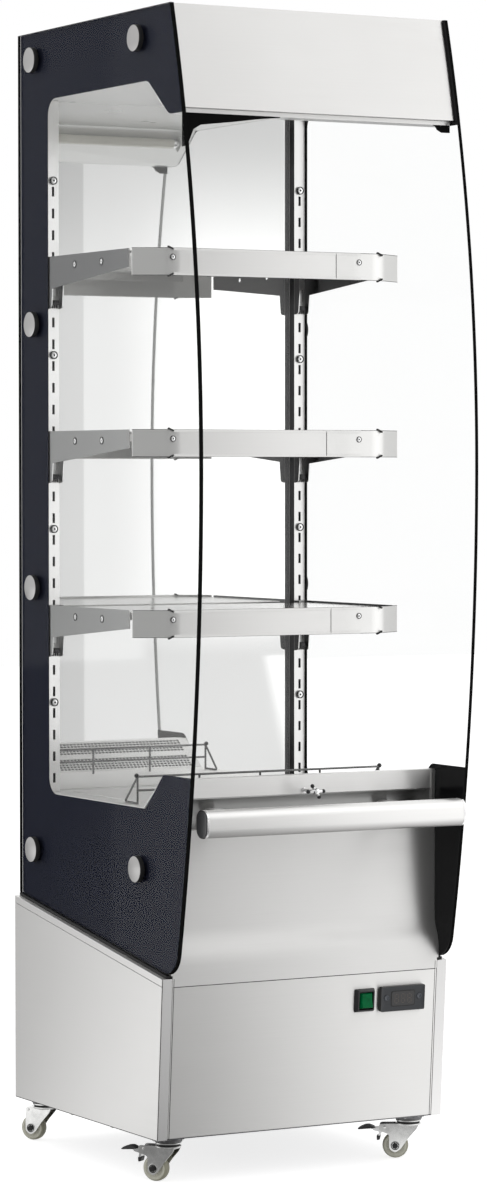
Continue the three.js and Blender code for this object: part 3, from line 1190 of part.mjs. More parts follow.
function wheelSolid() {
  const flat = 1 / Math.cos(Math.PI / WHEEL_SIDES);
  const rim = WHEEL_RADIUS * flat;
  const bore = (AXLE_RADIUS + AXLE_CLEARANCE) * flat;
  const half = WHEEL_WIDTH / 2;
  const web = half - WHEEL_DISH;
  const profile = [
    [bore, -half], [HUB_RADIUS, -half], [HUB_RADIUS, -web],
    [rim - WHEEL_ROUND * 2, -web], [rim - WHEEL_ROUND, -half], [rim, -half + WHEEL_ROUND],
    [rim, half - WHEEL_ROUND], [rim - WHEEL_ROUND, half], [rim - WHEEL_ROUND * 2, web],
    [HUB_RADIUS, web], [HUB_RADIUS, half], [bore, half], [bore, -half],
  ].map(([r, y]) => new THREE.Vector2(r, y));
  const lathe = new THREE.LatheGeometry(profile, WHEEL_SIDES, Math.PI / WHEEL_SIDES);
  return solidFrom(lathe.translate(-TRAIL, 0, WHEEL_RADIUS));
}

function pedalSolid() {
  const width = PEDAL_WIDTH / 2;
  const cheekInner = WHEEL_WIDTH / 2 + CHEEK_CLEARANCE;
  const near = CROWN_RADIUS + CHEEK_CLEARANCE * 2;
  const tip = PEDAL_REACH;
  const z = PEDAL_PIVOT_HEIGHT;
  const thick = CHEEK_THICKNESS * 2;
  const under = thick + CHEEK_THICKNESS;
  const lever = new THREE.Shape();
  lever.moveTo(-near, z + thick);
  lever.quadraticCurveTo(-PEDAL_PIVOT_X, z + thick, -(PEDAL_PIVOT_X + tip) / 2, z - thick / 2);
  lever.quadraticCurveTo(-tip + thick * 2, z - thick, -tip, z + thick / 2);
  lever.lineTo(-tip, z);
  lever.quadraticCurveTo(-tip + thick, z - thick * 2, -(PEDAL_PIVOT_X + tip) / 2, z - under);
  lever.lineTo(-PEDAL_PIVOT_X, z - thick / 2);
  lever.lineTo(-near, z + thick / 4);
  const body = prismY(lever, -width, width, BAR_STEPS);
  const pinEnd = cheekInner - SEAT_GAP;
  const pin = rodY(-PEDAL_PIVOT_X, -pinEnd, pinEnd, z, PEDAL_PIN_RADIUS, SMALL_SIDES);
  return body.add(pin);
}

function buildCastors() {
  const wheel = wheelSolid();
  for (const { name, x, y, heading, pedal } of castorPlaces()) {
    const castor = new THREE.Group();
    castor.position.set(x, y, 0);
    castor.rotation.z = -THREE.MathUtils.degToRad(heading);
    addPart(`${name}_fork`, forkSolid(pedal), chrome, castor);
    addPart(`${name}_wheel`, wheel, nylon, castor);
    if (pedal) {
      addPart(`${name}_pedal`, pedalSolid(), blackPlastic, castor);
    }
    assembly.add(castor);
  }
}

function buildFan() {
  const top = DECK_HEIGHT - SHEET - SEAT_GAP;
  const z = top - FAN_SIZE / 2;
  const y0 = FAN_Y - FAN_DEPTH / 2;
  const y1 = FAN_Y + FAN_DEPTH / 2;
  const half = FAN_SIZE / 2;
  const frame = cutBy(midBlock(half, y0, y1, top - FAN_SIZE, top), [
    rodY(0, y0 - OVERRUN, y1 + OVERRUN, z, FAN_BORE, ROUND_SIDES),
  ]);
  const motor = rodY(0, y1 - MOTOR_DEPTH, y1, z, FAN_HUB_RADIUS, SMALL_SIDES);
  const strutHalf = STRUT_WIDTH / 2;
  const strutReach = FAN_BORE + OVERRUN;
  const struts = [
    midBlock(strutReach, y1 - strutHalf, y1, z - strutHalf, z + strutHalf),
    midBlock(strutHalf, y1 - strutHalf, y1, z - strutReach, z + strutReach),
  ];
  addPart('fan_housing', joined([frame, motor, ...struts]), blackPaint);
  const hubBack = y1 - MOTOR_DEPTH - SEAT_GAP;
  const hub = rodY(0, y0 + OVERRUN, hubBack, z, FAN_HUB_RADIUS, ROUND_SIDES);
  const reach = FAN_BORE - FAN_TIP_CLEARANCE - FAN_BLADE_THICKNESS;
  const blades = [];
  for (let i = 0; i < FAN_BLADES; i += 1) {
    const length = reach - FAN_HUB_RADIUS / 2;
    const blade = new THREE.BoxGeometry(FAN_BLADE_CHORD, FAN_BLADE_THICKNESS, length, 1, 1, BLADE_STEPS);
    blade.translate(0, 0, reach - length / 2);
    twist(blade, reach);
    const middle = (y0 + OVERRUN + hubBack) / 2;
    blade.rotateY(i * 2 * Math.PI / FAN_BLADES).translate(0, middle, z);
    blades.push(solidFrom(blade));
  }
  const sweepRoom = rodY(0, y0 + OVERRUN / 2, hubBack, z, FAN_BORE - FAN_TIP_CLEARANCE, ROUND_SIDES);
  addPart('fan_rotor', joined([hub, ...blades]).intersect(sweepRoom), darkSteel);
}

// Turns a blade's sections steeper towards its root
function twist(blade, reach) {
  const places = blade.attributes.position;
  const spin = new THREE.Vector3(0, 0, 1);
  for (let i = 0; i < places.count; i += 1) {
    const place = new THREE.Vector3().fromBufferAttribute(places, i);
    const share = 1 - place.z / reach / 2;
    place.applyAxisAngle(spin, THREE.MathUtils.degToRad(FAN_BLADE_TWIST * share));
    places.setXYZ(i, place.x, place.y, place.z);
  }
}

function buildHeater() {
  const top = DECK_HEIGHT - SHEET - SEAT_GAP;
  const z = DECK_HEIGHT - HEATER_DROP;
  const y = -HEATER_Y;
  const half = HEATER_LENGTH / 2;
  const ys = [y - HEATER_RUN_SPACING / 2, y + HEATER_RUN_SPACING / 2];
  const pieces = ys.map((runY) => rodX(-half, half, runY, z, HEATER_TUBE_RADIUS));
  pieces.push(rodY(half, ys[0] - HEATER_TUBE_RADIUS, ys[1] + HEATER_TUBE_RADIUS, z, HEATER_TUBE_RADIUS));
  const bracketX = half - FIN_PITCH;
  for (const x of [-bracketX, bracketX]) {
    const bracket = midBlock(SHEET / 2, y - HEATER_BRACKET_WIDTH / 2, y + HEATER_BRACKET_WIDTH / 2,
      z - FIN_RADIUS, top);
    pieces.push(bracket.translate([x, 0, 0]));
  }
  const finCount = Math.floor((HEATER_LENGTH - 2 * HEATER_END_ROOM) / FIN_PITCH);
  for (const runY of ys) {
    for (let i = 0; i <= finCount; i += 1) {
      const x = (i - finCount / 2) * FIN_PITCH;
      pieces.push(rodX(x - FIN_THICKNESS / 2, x + FIN_THICKNESS / 2, runY, z, FIN_RADIUS));
    }
  }
  addPart('air_heater', joined(pieces), darkSteel);
}

buildBase();
buildFloor();
buildFrontCover();
buildGlasses();
buildGaskets();
buildCaps();
buildRearBody();
buildUprights();
buildCanopy();
buildSoffit();
buildDeck();
buildSill();
buildFrontPanel();
buildBar();
buildWingScrew();
shelfHeights().forEach((top, i) => {
  buildShelf(i + 1, top);
  buildBracket(i + 1, top);
});
buildGuard();
buildControls();
buildCastors();
buildFan();
buildHeater();

// The origin is under the middle of everything, the castors included
const reach = new THREE.Box3().setFromObject(assembly, true);
const middle = reach.getCenter(new THREE.Vector3());
assembly.position.set(-middle.x, -middle.y, 0);

export default assembly;
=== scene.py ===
import bmesh
import bpy
import math
from mathutils import Matrix, Vector


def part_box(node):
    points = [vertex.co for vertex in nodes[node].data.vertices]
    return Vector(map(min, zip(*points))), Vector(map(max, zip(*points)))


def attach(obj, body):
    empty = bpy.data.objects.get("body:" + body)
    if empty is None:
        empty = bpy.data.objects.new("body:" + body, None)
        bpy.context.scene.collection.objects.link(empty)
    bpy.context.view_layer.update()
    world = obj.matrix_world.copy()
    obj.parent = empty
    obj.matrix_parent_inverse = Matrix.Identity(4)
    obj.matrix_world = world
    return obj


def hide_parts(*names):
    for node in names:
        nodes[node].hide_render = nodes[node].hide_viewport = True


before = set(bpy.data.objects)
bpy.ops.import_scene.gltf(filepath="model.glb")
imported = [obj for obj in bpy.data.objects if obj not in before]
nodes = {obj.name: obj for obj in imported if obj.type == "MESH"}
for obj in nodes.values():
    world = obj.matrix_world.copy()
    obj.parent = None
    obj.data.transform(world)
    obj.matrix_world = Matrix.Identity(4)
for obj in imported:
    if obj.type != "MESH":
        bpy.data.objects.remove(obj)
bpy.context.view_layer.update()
print("frame loaded:", len(nodes), "nodes")

baseRear = 299
sides = (("left", -1), ("right", 1))
joinDistance = 1e-6  # metres
white = (1, 1, 1, 1)


def mm(length):
    return length / 1000


# All sizes below are millimetres from the middle of the base, with the front at -y.
shellLow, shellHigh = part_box("base_shell")
shiftX = (shellLow.x + shellHigh.x) / 2
shiftY = shellHigh.y - mm(baseRear)


def at(x, y, z):
    return Vector((shiftX + mm(x), shiftY + mm(y), mm(z)))


def spot(x, y, z):
    return Vector((mm(x), mm(y), mm(z)))


# Each named input takes a value or the output of another node
def feed(node, inputs):
    for name, value in inputs.items():
        if isinstance(value, bpy.types.NodeSocket):
            node.id_data.links.new(value, node.inputs[name])
        else:
            node.inputs[name].default_value = value


def addNode(tree, kind, inputs=None, **settings):
    node = tree.nodes.new(kind)
    for key, value in settings.items():
        setattr(node, key, value)
    feed(node, inputs or {})
    return node


def newMaterial(name):
    material = bpy.data.materials.new(name)
    material.use_nodes = True
    tree = material.node_tree
    return material, tree, tree.nodes["Principled BSDF"]


def calculate(tree, operation, first, second=0.0):
    return addNode(tree, "ShaderNodeMath", {0: first, 1: second}, operation=operation).outputs[0]


def plus(tree, first, second):
    return calculate(tree, "ADD", first, second)


def minus(tree, first, second):
    return calculate(tree, "SUBTRACT", first, second)


def times(tree, first, second):
    return calculate(tree, "MULTIPLY", first, second)


# A rise from low to high between two values of a socket, eased at both ends unless it is linear
def rise(tree, value, start, end, low=0.0, high=1.0, kind="SMOOTHSTEP"):
    inputs = {"Value": value, "From Min": start, "From Max": end, "To Min": low, "To Max": high}
    return addNode(tree, "ShaderNodeMapRange", inputs, interpolation_type=kind).outputs["Result"]


# The first value where the factor is 0, the second where it is 1
def blend(tree, factor, first, second, colour=False):
    kind, start, out = ("RGBA", 6, 2) if colour else ("FLOAT", 2, 0)
    inputs = {"Factor": factor, start: first, start + 1: second}
    return addNode(tree, "ShaderNodeMix", inputs, data_type=kind).outputs[out]


def mixShaders(tree, factor, first, second):
    return addNode(tree, "ShaderNodeMixShader", {"Fac": factor, 1: first, 2: second}).outputs["Shader"]


# Span is the part of the noise that tones and roughness are spread over, depth the height of its grain
grainField = {"rough": 0.55, "span": (0.3, 0.7), "depth": 0.0002}


def noise(tree, scale, detail=3.0, stretch=(1, 1, 1)):
    coordinates = addNode(tree, "ShaderNodeTexCoord")
    mapping = addNode(tree, "ShaderNodeMapping", {"Scale": stretch, "Vector": coordinates.outputs["Object"]})
    inputs = {"Vector": mapping.outputs["Vector"], "Scale": scale, "Detail": detail,
              "Roughness": grainField["rough"]}
    return addNode(tree, "ShaderNodeTexNoise", inputs).outputs["Fac"]


def ramp(tree, factor, low, high):
    band = addNode(tree, "ShaderNodeValToRGB", {"Fac": factor})
    for element, place, tone in zip(band.color_ramp.elements, grainField["span"], (low, high)):
        element.position = place
        element.color = (*tone, 1)
    return band.outputs["Color"]


def spread(tree, factor, middle, share):
    return rise(tree, factor, *grainField["span"], middle * (1 - share), middle * (1 + share), "LINEAR")


def bump(tree, height, strength):
    inputs = {"Strength": strength, "Distance": grainField["depth"], "Height": height}
    return addNode(tree, "ShaderNodeBump", inputs).outputs["Normal"]


def shaded(tone, share):
    return tuple(c * share for c in tone)


brush = {"fine": 900, "long": 9, "clouds": 7.0, "cloudShare": 0.35, "dark": 0.955, "faceDark": 0.94,
         "roughShare": 0.14, "lift": 0.08, "smear": 0.85, "across": 0.02, "facing": 0.75, "down": (-0.1, 0.8)}


# Brushed sheet: fine streaks along one axis, and faint cloudy handling marks.
# Faces that look along the axis "facing", or down, may have a tone and roughness of their own; that tone is
# painted light or shade, lighter or darker by the way the faces look.
def brushedSteel(name, along, tone, rough, facing=None, paintedFaceTone=None, faceRough=None, metal=1.0):
    b = brush
    material, tree, shader = newMaterial(name)
    streaks = noise(tree, 1.0, 2.0, [b["long"] if axis == along else b["fine"] for axis in "xyz"])
    field = blend(tree, b["cloudShare"], streaks, noise(tree, b["clouds"]))
    colour = ramp(tree, field, shaded(tone, b["dark"]), tone)
    roughness = spread(tree, field, rough, b["roughShare"])
    normal = addNode(tree, "ShaderNodeNewGeometry").outputs["Normal"]
    if facing:
        looks = addNode(tree, "ShaderNodeSeparateXYZ", {0: normal})
        if facing == "down":
            share = rise(tree, times(tree, looks.outputs["Z"], -1.0), *b["down"])
        else:
            size = calculate(tree, "ABSOLUTE", looks.outputs[facing.upper()])
            share = calculate(tree, "GREATER_THAN", size, b["facing"])
        paintedFaceTone = paintedFaceTone or tone
        other = ramp(tree, field, shaded(paintedFaceTone, b["faceDark"]), paintedFaceTone)
        colour = blend(tree, share, colour, other, colour=True)
        roughness = blend(tree, share, roughness, spread(tree, field, faceRough or rough, b["roughShare"]))
    # The grain lies along one axis, so reflections smear across it
    grain = [1.0 if axis == along else b["across"] for axis in "xyz"]
    tangent = addNode(tree, "ShaderNodeVectorMath", {0: normal, 1: grain}, operation="CROSS_PRODUCT")
    feed(shader, {"Base Color": colour, "Roughness": roughness, "Normal": bump(tree, streaks, b["lift"]),
                  "Metallic": metal, "Tangent": tangent.outputs["Vector"], "Anisotropic": b["smear"]})
    return material


# Even surface with a faint mottle, for plastic, rubber, paint, print and plated steel
def evenMaterial(name, tone, rough, metal=0.0, mottle=0.06, scale=260.0, lift=0.05, shine=0.5):
    material, tree, shader = newMaterial(name)
    field = noise(tree, scale)
    feed(shader, {"Base Color": ramp(tree, field, shaded(tone, 1 - mottle), tone),
                  "Roughness": spread(tree, field, rough, 0.1), "Metallic": metal, "Specular IOR Level": shine})
    if lift:
        feed(shader, {"Normal": bump(tree, field, lift)})
    return material


clear = {"tones": ((0.993, 0.996, 0.9945), (0.998, 0.9995, 0.999)), "clouds": 3.0, "rough": 0.03,
         "steepness": 5.0, "mirrored": (0.003, 0.2)}


def clearMaterial(name):
    material, tree, shader = newMaterial(name)
    tree.nodes.remove(shader)
    tint = ramp(tree, noise(tree, clear["clouds"], 2.0), *clear["tones"])
    body = addNode(tree, "ShaderNodeBsdfTransparent", {"Color": tint})
    gloss = addNode(tree, "ShaderNodeBsdfGlossy", {"Roughness": clear["rough"]})
    edge = addNode(tree, "ShaderNodeLayerWeight").outputs["Facing"]
    steep = calculate(tree, "POWER", edge, clear["steepness"])
    share = rise(tree, steep, 0.0, 1.0, *clear["mirrored"], "LINEAR")
    surface = mixShaders(tree, share, body.outputs["BSDF"], gloss.outputs["BSDF"])
    feed(tree.nodes["Material Output"], {"Surface": surface})
    return material


# Brushed finishes: grain, tone, roughness, then what faces one way may have of its own, whose tone is painted
# light or shade
paleFace = (0.8, 0.8, 0.79)
steelX = brushedSteel("steelAcross", "x", (0.66, 0.655, 0.645), 0.40)
steelY = brushedSteel("steelDeep", "y", (0.66, 0.655, 0.645), 0.40)
steelZ = brushedSteel("steelUpright", "z", (0.70, 0.695, 0.685), 0.34)
# Slotted uprights: the sides that look along x are painted near-black, a painted shade
uprightSteel = brushedSteel("slottedSteel", "z", (0.86, 0.855, 0.845), 0.34, "x", (0.045, 0.045, 0.047))
shelfSteel = brushedSteel("shelfSteel", "x", (0.68, 0.675, 0.665), 0.40, "z", faceRough=0.14)
# Left brackets: a dark tone that is painted shade under the shelves, with a painted lit tone on faces that look
# along y; the top brackets are painted darker still
bracketSteel = brushedSteel("bracketSteel", "y", (0.33, 0.33, 0.328), 0.36, "y", paleFace)
topBracketSteel = brushedSteel("topBracketSteel", "y", (0.18, 0.18, 0.182), 0.36, "y", paleFace)
# Right brackets: pale, with painted shade near-black on the faces that look along x
rightBracketSteel = brushedSteel("rightBracketSteel", "y", paleFace, 0.36, "x", (0.08, 0.08, 0.082))
# Handle bar: faces that look down are painted darker, a painted shade on its underside
barSteel = brushedSteel("barSteel", "x", (0.74, 0.735, 0.725), 0.34, "down", (0.36, 0.355, 0.35))
# Grip recess: a darker tone, painted shade in the hollow behind the bar
recessSteel = brushedSteel("recessSteel", "x", (0.40, 0.40, 0.395), 0.38)
capSteel = brushedSteel("capSteel", "z", (0.42, 0.415, 0.41), 0.34)
darkSteel = brushedSteel("darkSteel", "x", (0.16, 0.16, 0.165), 0.42)
sillSteel = brushedSteel("sillSteel", "x", (0.77, 0.765, 0.755), 0.38, metal=0.75)
# Base: faces that look along y are painted lighter, a painted light on its front posts and rear
baseSteel = brushedSteel("baseSteel", "y", (0.66, 0.655, 0.645), 0.40, "y", (0.74, 0.735, 0.73))
panelSteel = brushedSteel("panelSteel", "x", (0.72, 0.715, 0.705), 0.44, metal=0.8)
# Even finishes: tone, roughness, metal, mottle and its scale, lift of the grain, shine
wireSteel = evenMaterial("wireSteel", (0.15, 0.15, 0.15), 0.2, 1.0, 0.05, 60.0, 0.0)
mirrorSteel = evenMaterial("mirrorSteel", (0.93, 0.93, 0.925), 0.018, 0.76, 0.015, 5.0, 0.0)
soffitSteel = evenMaterial("soffitSteel", (0.86, 0.86, 0.85), 0.3, 0.4, 0.03, 9.0, 0.0)
forkChrome = evenMaterial("forkChrome", (0.68, 0.68, 0.67), 0.14, 1.0, 0.22, 90.0, 0.1)
chrome = evenMaterial("brightChrome", (0.74, 0.74, 0.74), 0.12, 1.0, 0.04, 60.0, 0.02)
printGlass = evenMaterial("printedGlass", (0.019, 0.0215, 0.037), 0.3, 0.0, 0.04, 30.0, 0.0, 0.0)
innerPrint = evenMaterial("innerPrint", (0.004, 0.004, 0.005), 0.2, 0.0, 0.05, 30.0, 0.0, 0.12)
glassEdge = evenMaterial("glassEdge", (0.004, 0.005, 0.005), 0.15, 0.0, 0.1, 80.0, 0.0, 0.15)
clearGlass = clearMaterial("clearGlass")
glassRim = evenMaterial("glassRim", (0.01, 0.01, 0.01), 0.6, 0.0, 0.1, 90.0, 0.0, 0.0)
# Pale back of the black glass rim, a painted light that the wall's mirror shows
paintedLightRimBack = evenMaterial("paintedLightRimBack", (0.62, 0.63, 0.62), 0.5, 0.0, 0.05, 90.0, 0.0, 0.1)
rubber = evenMaterial("blackRubber", (0.012, 0.012, 0.012), 0.7, 0.0, 0.2, 700.0, 0.2)
blackPlastic = evenMaterial("blackPlastic", (0.018, 0.018, 0.02), 0.38, 0.0, 0.15, 900.0, 0.15)
casePlastic = evenMaterial("casePlastic", (0.024, 0.027, 0.033), 0.45, 0.0, 0.12, 900.0, 0.12)
greenPlastic = evenMaterial("greenPlastic", (0.0, 0.2, 0.06), 0.3, 0.0, 0.35, 120.0, 0.05, 0.1)
creamNylon = evenMaterial("creamNylon", (0.74, 0.73, 0.62), 0.45, 0.0, 0.1, 120.0, 0.1)
greyTread = evenMaterial("greyTread", (0.42, 0.41, 0.31), 0.5, 0.0, 0.12, 300.0, 0.15)
endPlastic = evenMaterial("endPlastic", (0.085, 0.087, 0.09), 0.3, 0.0, 0.12, 900.0, 0.12)
displayPlastic = evenMaterial("displayPlastic", (0.022, 0.021, 0.022), 0.12, 0.0, 0.1, 300.0, 0.0)
segmentPlastic = evenMaterial("segmentPlastic", (0.085, 0.068, 0.058), 0.3, 0.0, 0.1, 900.0, 0.0)
keyPlastic = evenMaterial("keyPlastic", (0.075, 0.083, 0.10), 0.42, 0.0, 0.12, 900.0, 0.1)
darkLine = evenMaterial("darkLine", (0.02, 0.02, 0.02), 0.6, 0.3, 0.15, 500.0, 0.0)
blackPaint = evenMaterial("blackPaint", (0.02, 0.02, 0.02), 0.5, 0.2, 0.2, 400.0, 0.15)
lampGlass = evenMaterial("lampGlass", (0.82, 0.80, 0.72), 0.25, 0.0, 0.03, 20.0, 0.0)
print("materials made")


def toObject(bm, name):
    mesh = bpy.data.meshes.new(name)
    bm.to_mesh(mesh)
    bm.free()
    made = bpy.data.objects.new(name, mesh)
    bpy.context.scene.collection.objects.link(made)
    return made


# Every new piece ends here: its body, and the nodes it takes the place of
def finishPiece(bm, name, body, materials, replaced=(), bevel=0, segments=2, sharp=32, smooth=True):
    bmesh.ops.remove_doubles(bm, verts=bm.verts, dist=joinDistance)
    bmesh.ops.recalc_face_normals(bm, faces=bm.faces)
    piece = toObject(bm, name)
    for material in materials if isinstance(materials, list) else [materials]:
        piece.data.materials.append(material)
    if smooth:
        piece.data.shade_smooth()
        piece.data.set_sharp_from_angle(angle=math.radians(sharp))
    if bevel:
        addBevel(piece, bevel, segments)
    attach(piece, body)
    if replaced:
        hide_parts(*replaced)
    return piece


def addBevel(piece, width, segments=2):
    rounding = piece.modifiers.new("rounded edges", "BEVEL")
    rounding.width = mm(width)
    rounding.segments = segments
    rounding.limit_method = "ANGLE"
    rounding.angle_limit = math.radians(35)
    rounding.use_clamp_overlap = True
    rounding.harden_normals = True


# A bent surface gets the thickness of its sheet
def addSheet(piece, thickness):
    sheet = piece.modifiers.new("sheet", "SOLIDIFY")
    sheet.thickness = mm(thickness)
    sheet.offset = -1


# The materials of a piece go by where each face lies and looks
def paintFaces(bm, choose):
    bmesh.ops.recalc_face_normals(bm, faces=bm.faces)
    for face in bm.faces:
        face.material_index = choose(face, face.calc_center_median())


def only(geometry, kind):
    return [item for item in geometry if isinstance(item, kind)]


def edgesOf(verts):
    return list({edge for vert in verts for edge in vert.link_edges})


def chain(bm, points, closed=False):
    verts = [bm.verts.new(p) for p in points]
    edges = [bm.edges.new(pair) for pair in zip(verts, verts[1:])]
    if closed:
        edges.append(bm.edges.new((verts[-1], verts[0])))
    return verts, edges


# A closed outline becomes a face and is pulled out along a vector
def pullOutline(bm, points, vector):
    verts, edges = chain(bm, points, True)
    face = bmesh.ops.contextual_create(bm, geom=edges)["faces"][0]
    grown = bmesh.ops.extrude_face_region(bm, geom=[face], use_keep_orig=True)["geom"]
    moved = only(grown, bmesh.types.BMVert)
    bmesh.ops.translate(bm, verts=moved, vec=vector)
    return verts + moved


# An open path becomes a sheet along a vector; its faces are returned
def pullPath(bm, points, vector):
    verts, edges = chain(bm, points)
    grown = bmesh.ops.extrude_edge_only(bm, edges=edges)["geom"]
    bmesh.ops.translate(bm, verts=only(grown, bmesh.types.BMVert), vec=vector)
    return only(grown, bmesh.types.BMFace)


# Points in (y, z) at one x
def inPlane(x, pairs):
    return [at(x, y, z) for y, z in pairs]


# Profile of (radius, height) pairs turned about an axis through a place
def turned(bm, profile, place, axis, steps=48):
    direction = Vector(axis).normalized()
    aside = direction.orthogonal().normalized()
    points = [place + aside * mm(r) + direction * mm(h) for r, h in profile]
    verts, edges = chain(bm, points)
    bmesh.ops.spin(bm, geom=verts + edges, cent=place, axis=direction, angle=math.tau, steps=steps,
                   use_merge=True, use_duplicate=False)


# Round wire along points: a ring is pushed from point to point and closed at both ends
def wire(bm, points, radius, steps=12):
    ways = [(b - a).normalized() for a, b in zip(points, points[1:])]
    ways = [ways[0]] + [(a + b).normalized() for a, b in zip(ways, ways[1:])] + [ways[-1]]
    place = Matrix.Translation(points[0]) @ ways[0].to_track_quat("Z", "Y").to_matrix().to_4x4()
    ring = bmesh.ops.create_circle(bm, cap_ends=True, segments=steps, radius=mm(radius), matrix=place)["verts"]
    edges = [e for e in edgesOf(ring) if all(w in ring for w in e.verts)]
    for here, there, before, way in zip(points, points[1:], ways, ways[1:]):
        grown = bmesh.ops.extrude_edge_only(bm, edges=edges)["geom"]
        ring = only(grown, bmesh.types.BMVert)
        edges = [e for e in only(grown, bmesh.types.BMEdge) if all(w in ring for w in e.verts)]
        bmesh.ops.translate(bm, verts=ring, vec=there - here)
        bmesh.ops.rotate(bm, verts=ring, cent=there, matrix=before.rotation_difference(way).to_matrix())
    bmesh.ops.contextual_create(bm, geom=edges)


# Points of a path whose corners are replaced by short arcs
def softened(points, radius, steps=5):
    out = [points[0]]
    for before, here, after in zip(points, points[1:], points[2:]):
        a = here + (before - here).normalized() * mm(radius)
        b = here + (after - here).normalized() * mm(radius)
        for i in range(steps + 1):
            t = i / steps
            out.append(a * (1 - t) ** 2 + here * 2 * t * (1 - t) + b * t ** 2)
    return out + [points[-1]]


def closedCurve(points, radius, steps=5):
    start = (points[0] + points[-1]) / 2
    return softened([start] + points + [start], radius, steps)[:-1]


def box(bm, low, high, bevel=0, segments=3):
    made = bmesh.ops.create_cube(bm, size=1)["verts"]
    bmesh.ops.scale(bm, verts=made, vec=high - low)
    bmesh.ops.translate(bm, verts=made, vec=(low + high) / 2)
    if bevel:
        bmesh.ops.bevel(bm, geom=edgesOf(made), offset=mm(bevel), segments=segments, affect="EDGES",
                        profile=0.5, material=-1)
    return made


def ball(bm, radius, middle):
    made = bmesh.ops.create_uvsphere(bm, u_segments=20, v_segments=12, radius=mm(radius))["verts"]
    bmesh.ops.translate(bm, verts=made, vec=middle)


view = {"place": (-2933.3, -5235.6, 1058.7), "yaw": 0.5073, "pitch": 0.0375, "roll": -0.0005,
        "lens": 116.27, "sensor": 36, "shiftX": 0.0113, "shiftY": 0.0166, "far": 60}


def buildCamera():
    camera = bpy.data.objects.new("camera", bpy.data.cameras.new("camera"))
    bpy.context.scene.collection.objects.link(camera)
    camera.data.sensor_fit = "VERTICAL"
    camera.data.sensor_height = view["sensor"]
    camera.data.lens = view["lens"]
    camera.data.shift_x = view["shiftX"]
    camera.data.shift_y = view["shiftY"]
    camera.data.clip_end = view["far"]
    camera.location = at(*view["place"])
    yaw, pitch = view["yaw"], view["pitch"]
    heading = Vector((math.sin(yaw) * math.cos(pitch), math.cos(yaw) * math.cos(pitch), -math.sin(pitch)))
    turn = heading.to_track_quat("-Z", "Y").to_matrix() @ Matrix.Rotation(view["roll"], 3, "Z")
    camera.rotation_euler = turn.to_euler()
    bpy.context.scene.camera = camera


# Pairs say where a tone starts and where it is complete; "aside" is the way to the right in x and y
light = {"fill": 0.6, "level": 0.86, "overhead": 0.95, "climb": (0.0, 0.45), "aside": (0.875, 0.485),
         "ahead": (0.0, 0.3), "band": 0.59, "bandLeft": (-0.03, 0.0), "bandRight": (0.0147, 0.019),
         "highDip": 0.33, "highFrom": (0.038, 0.09), "lowDip": 0.16, "lowFrom": (0.028, 0.05),
         "lowLeft": (-0.0225, -0.0195), "right": 0.33, "rightFrom": (0.15, 0.7),
         "boxSize": (1.6, 3.4), "boxes": {"frontBox": {"place": (1640, -1560, 1100), "power": 4, "turn": 30},
                                          "sideBox": {"place": (-1810, 1284, 1100), "power": 6, "turn": 207}}}


def seenDirectly(tree):
    path = addNode(tree, "ShaderNodeLightPath")
    total = path.outputs["Is Camera Ray"]
    for name in ("Is Glossy Ray", "Is Transmission Ray"):
        total = calculate(tree, "MAXIMUM", total, path.outputs[name])
    return total, path.outputs["Is Glossy Ray"]


# How far a place or a ray lies towards the right of the picture
def sideways(tree, parts):
    shareX, shareY = light["aside"]
    return plus(tree, times(tree, parts.outputs["X"], shareX), times(tree, parts.outputs["Y"], shareY))


def buildWorld():
    world = bpy.data.worlds.new("studio")
    bpy.context.scene.world = world
    world.use_nodes = True
    tree = world.node_tree
    fill = tree.nodes["Background"]
    feed(fill, {"Color": white, "Strength": light["fill"]})
    seen, isGlossy = seenDirectly(tree)
    # Glossy rays meet a pale studio that is lightest overhead
    coordinates = addNode(tree, "ShaderNodeTexCoord")
    parts = addNode(tree, "ShaderNodeSeparateXYZ", {0: coordinates.outputs["Generated"]})
    up, front = parts.outputs["Z"], times(tree, parts.outputs["Y"], -1.0)
    tone = rise(tree, up, *light["climb"], light["level"], light["overhead"], "LINEAR")
    # In front of the piece that studio has a bright middle band, greyer above and below it
    aside = sideways(tree, parts)
    elsewhere = minus(tree, 1.0, rise(tree, aside, *light["bandRight"]))
    high = times(tree, rise(tree, up, *light["highFrom"]), elsewhere)
    low = times(tree, rise(tree, times(tree, up, -1.0), *light["lowFrom"]), elsewhere)
    keep = minus(tree, 1.0, calculate(tree, "MAXIMUM", high, low))
    band = times(tree, times(tree, rise(tree, aside, *light["bandLeft"]), keep), light["band"])
    high = times(tree, high, light["highDip"])
    low = times(tree, times(tree, low, rise(tree, aside, *light["lowLeft"])), light["lowDip"])
    change = times(tree, minus(tree, minus(tree, band, high), low), rise(tree, front, *light["ahead"]))
    glossy = plus(tree, tone, change)
    glossy = plus(tree, glossy, times(tree, rise(tree, aside, *light["rightFrom"]), light["right"]))
    strength = blend(tree, isGlossy, 1.0, glossy)
    shown = addNode(tree, "ShaderNodeBackground", {"Color": white, "Strength": strength})
    surface = mixShaders(tree, seen, fill.outputs["Background"], shown.outputs["Background"])
    feed(tree.nodes["World Output"], {"Surface": surface})


ground = {"size": 14, "tone": (0.8, 0.8, 0.8, 1), "rough": 0.9, "glow": 0.74, "turnOver": 4.0, "offset": 0.1,
          "fall": (-0.35, 0.15), "low": 0.34, "high": 1.42,
          "far": (3.0, 5.0), "farAside": (0.39, 0.47), "farLow": 0.74, "farHigh": 1.3}


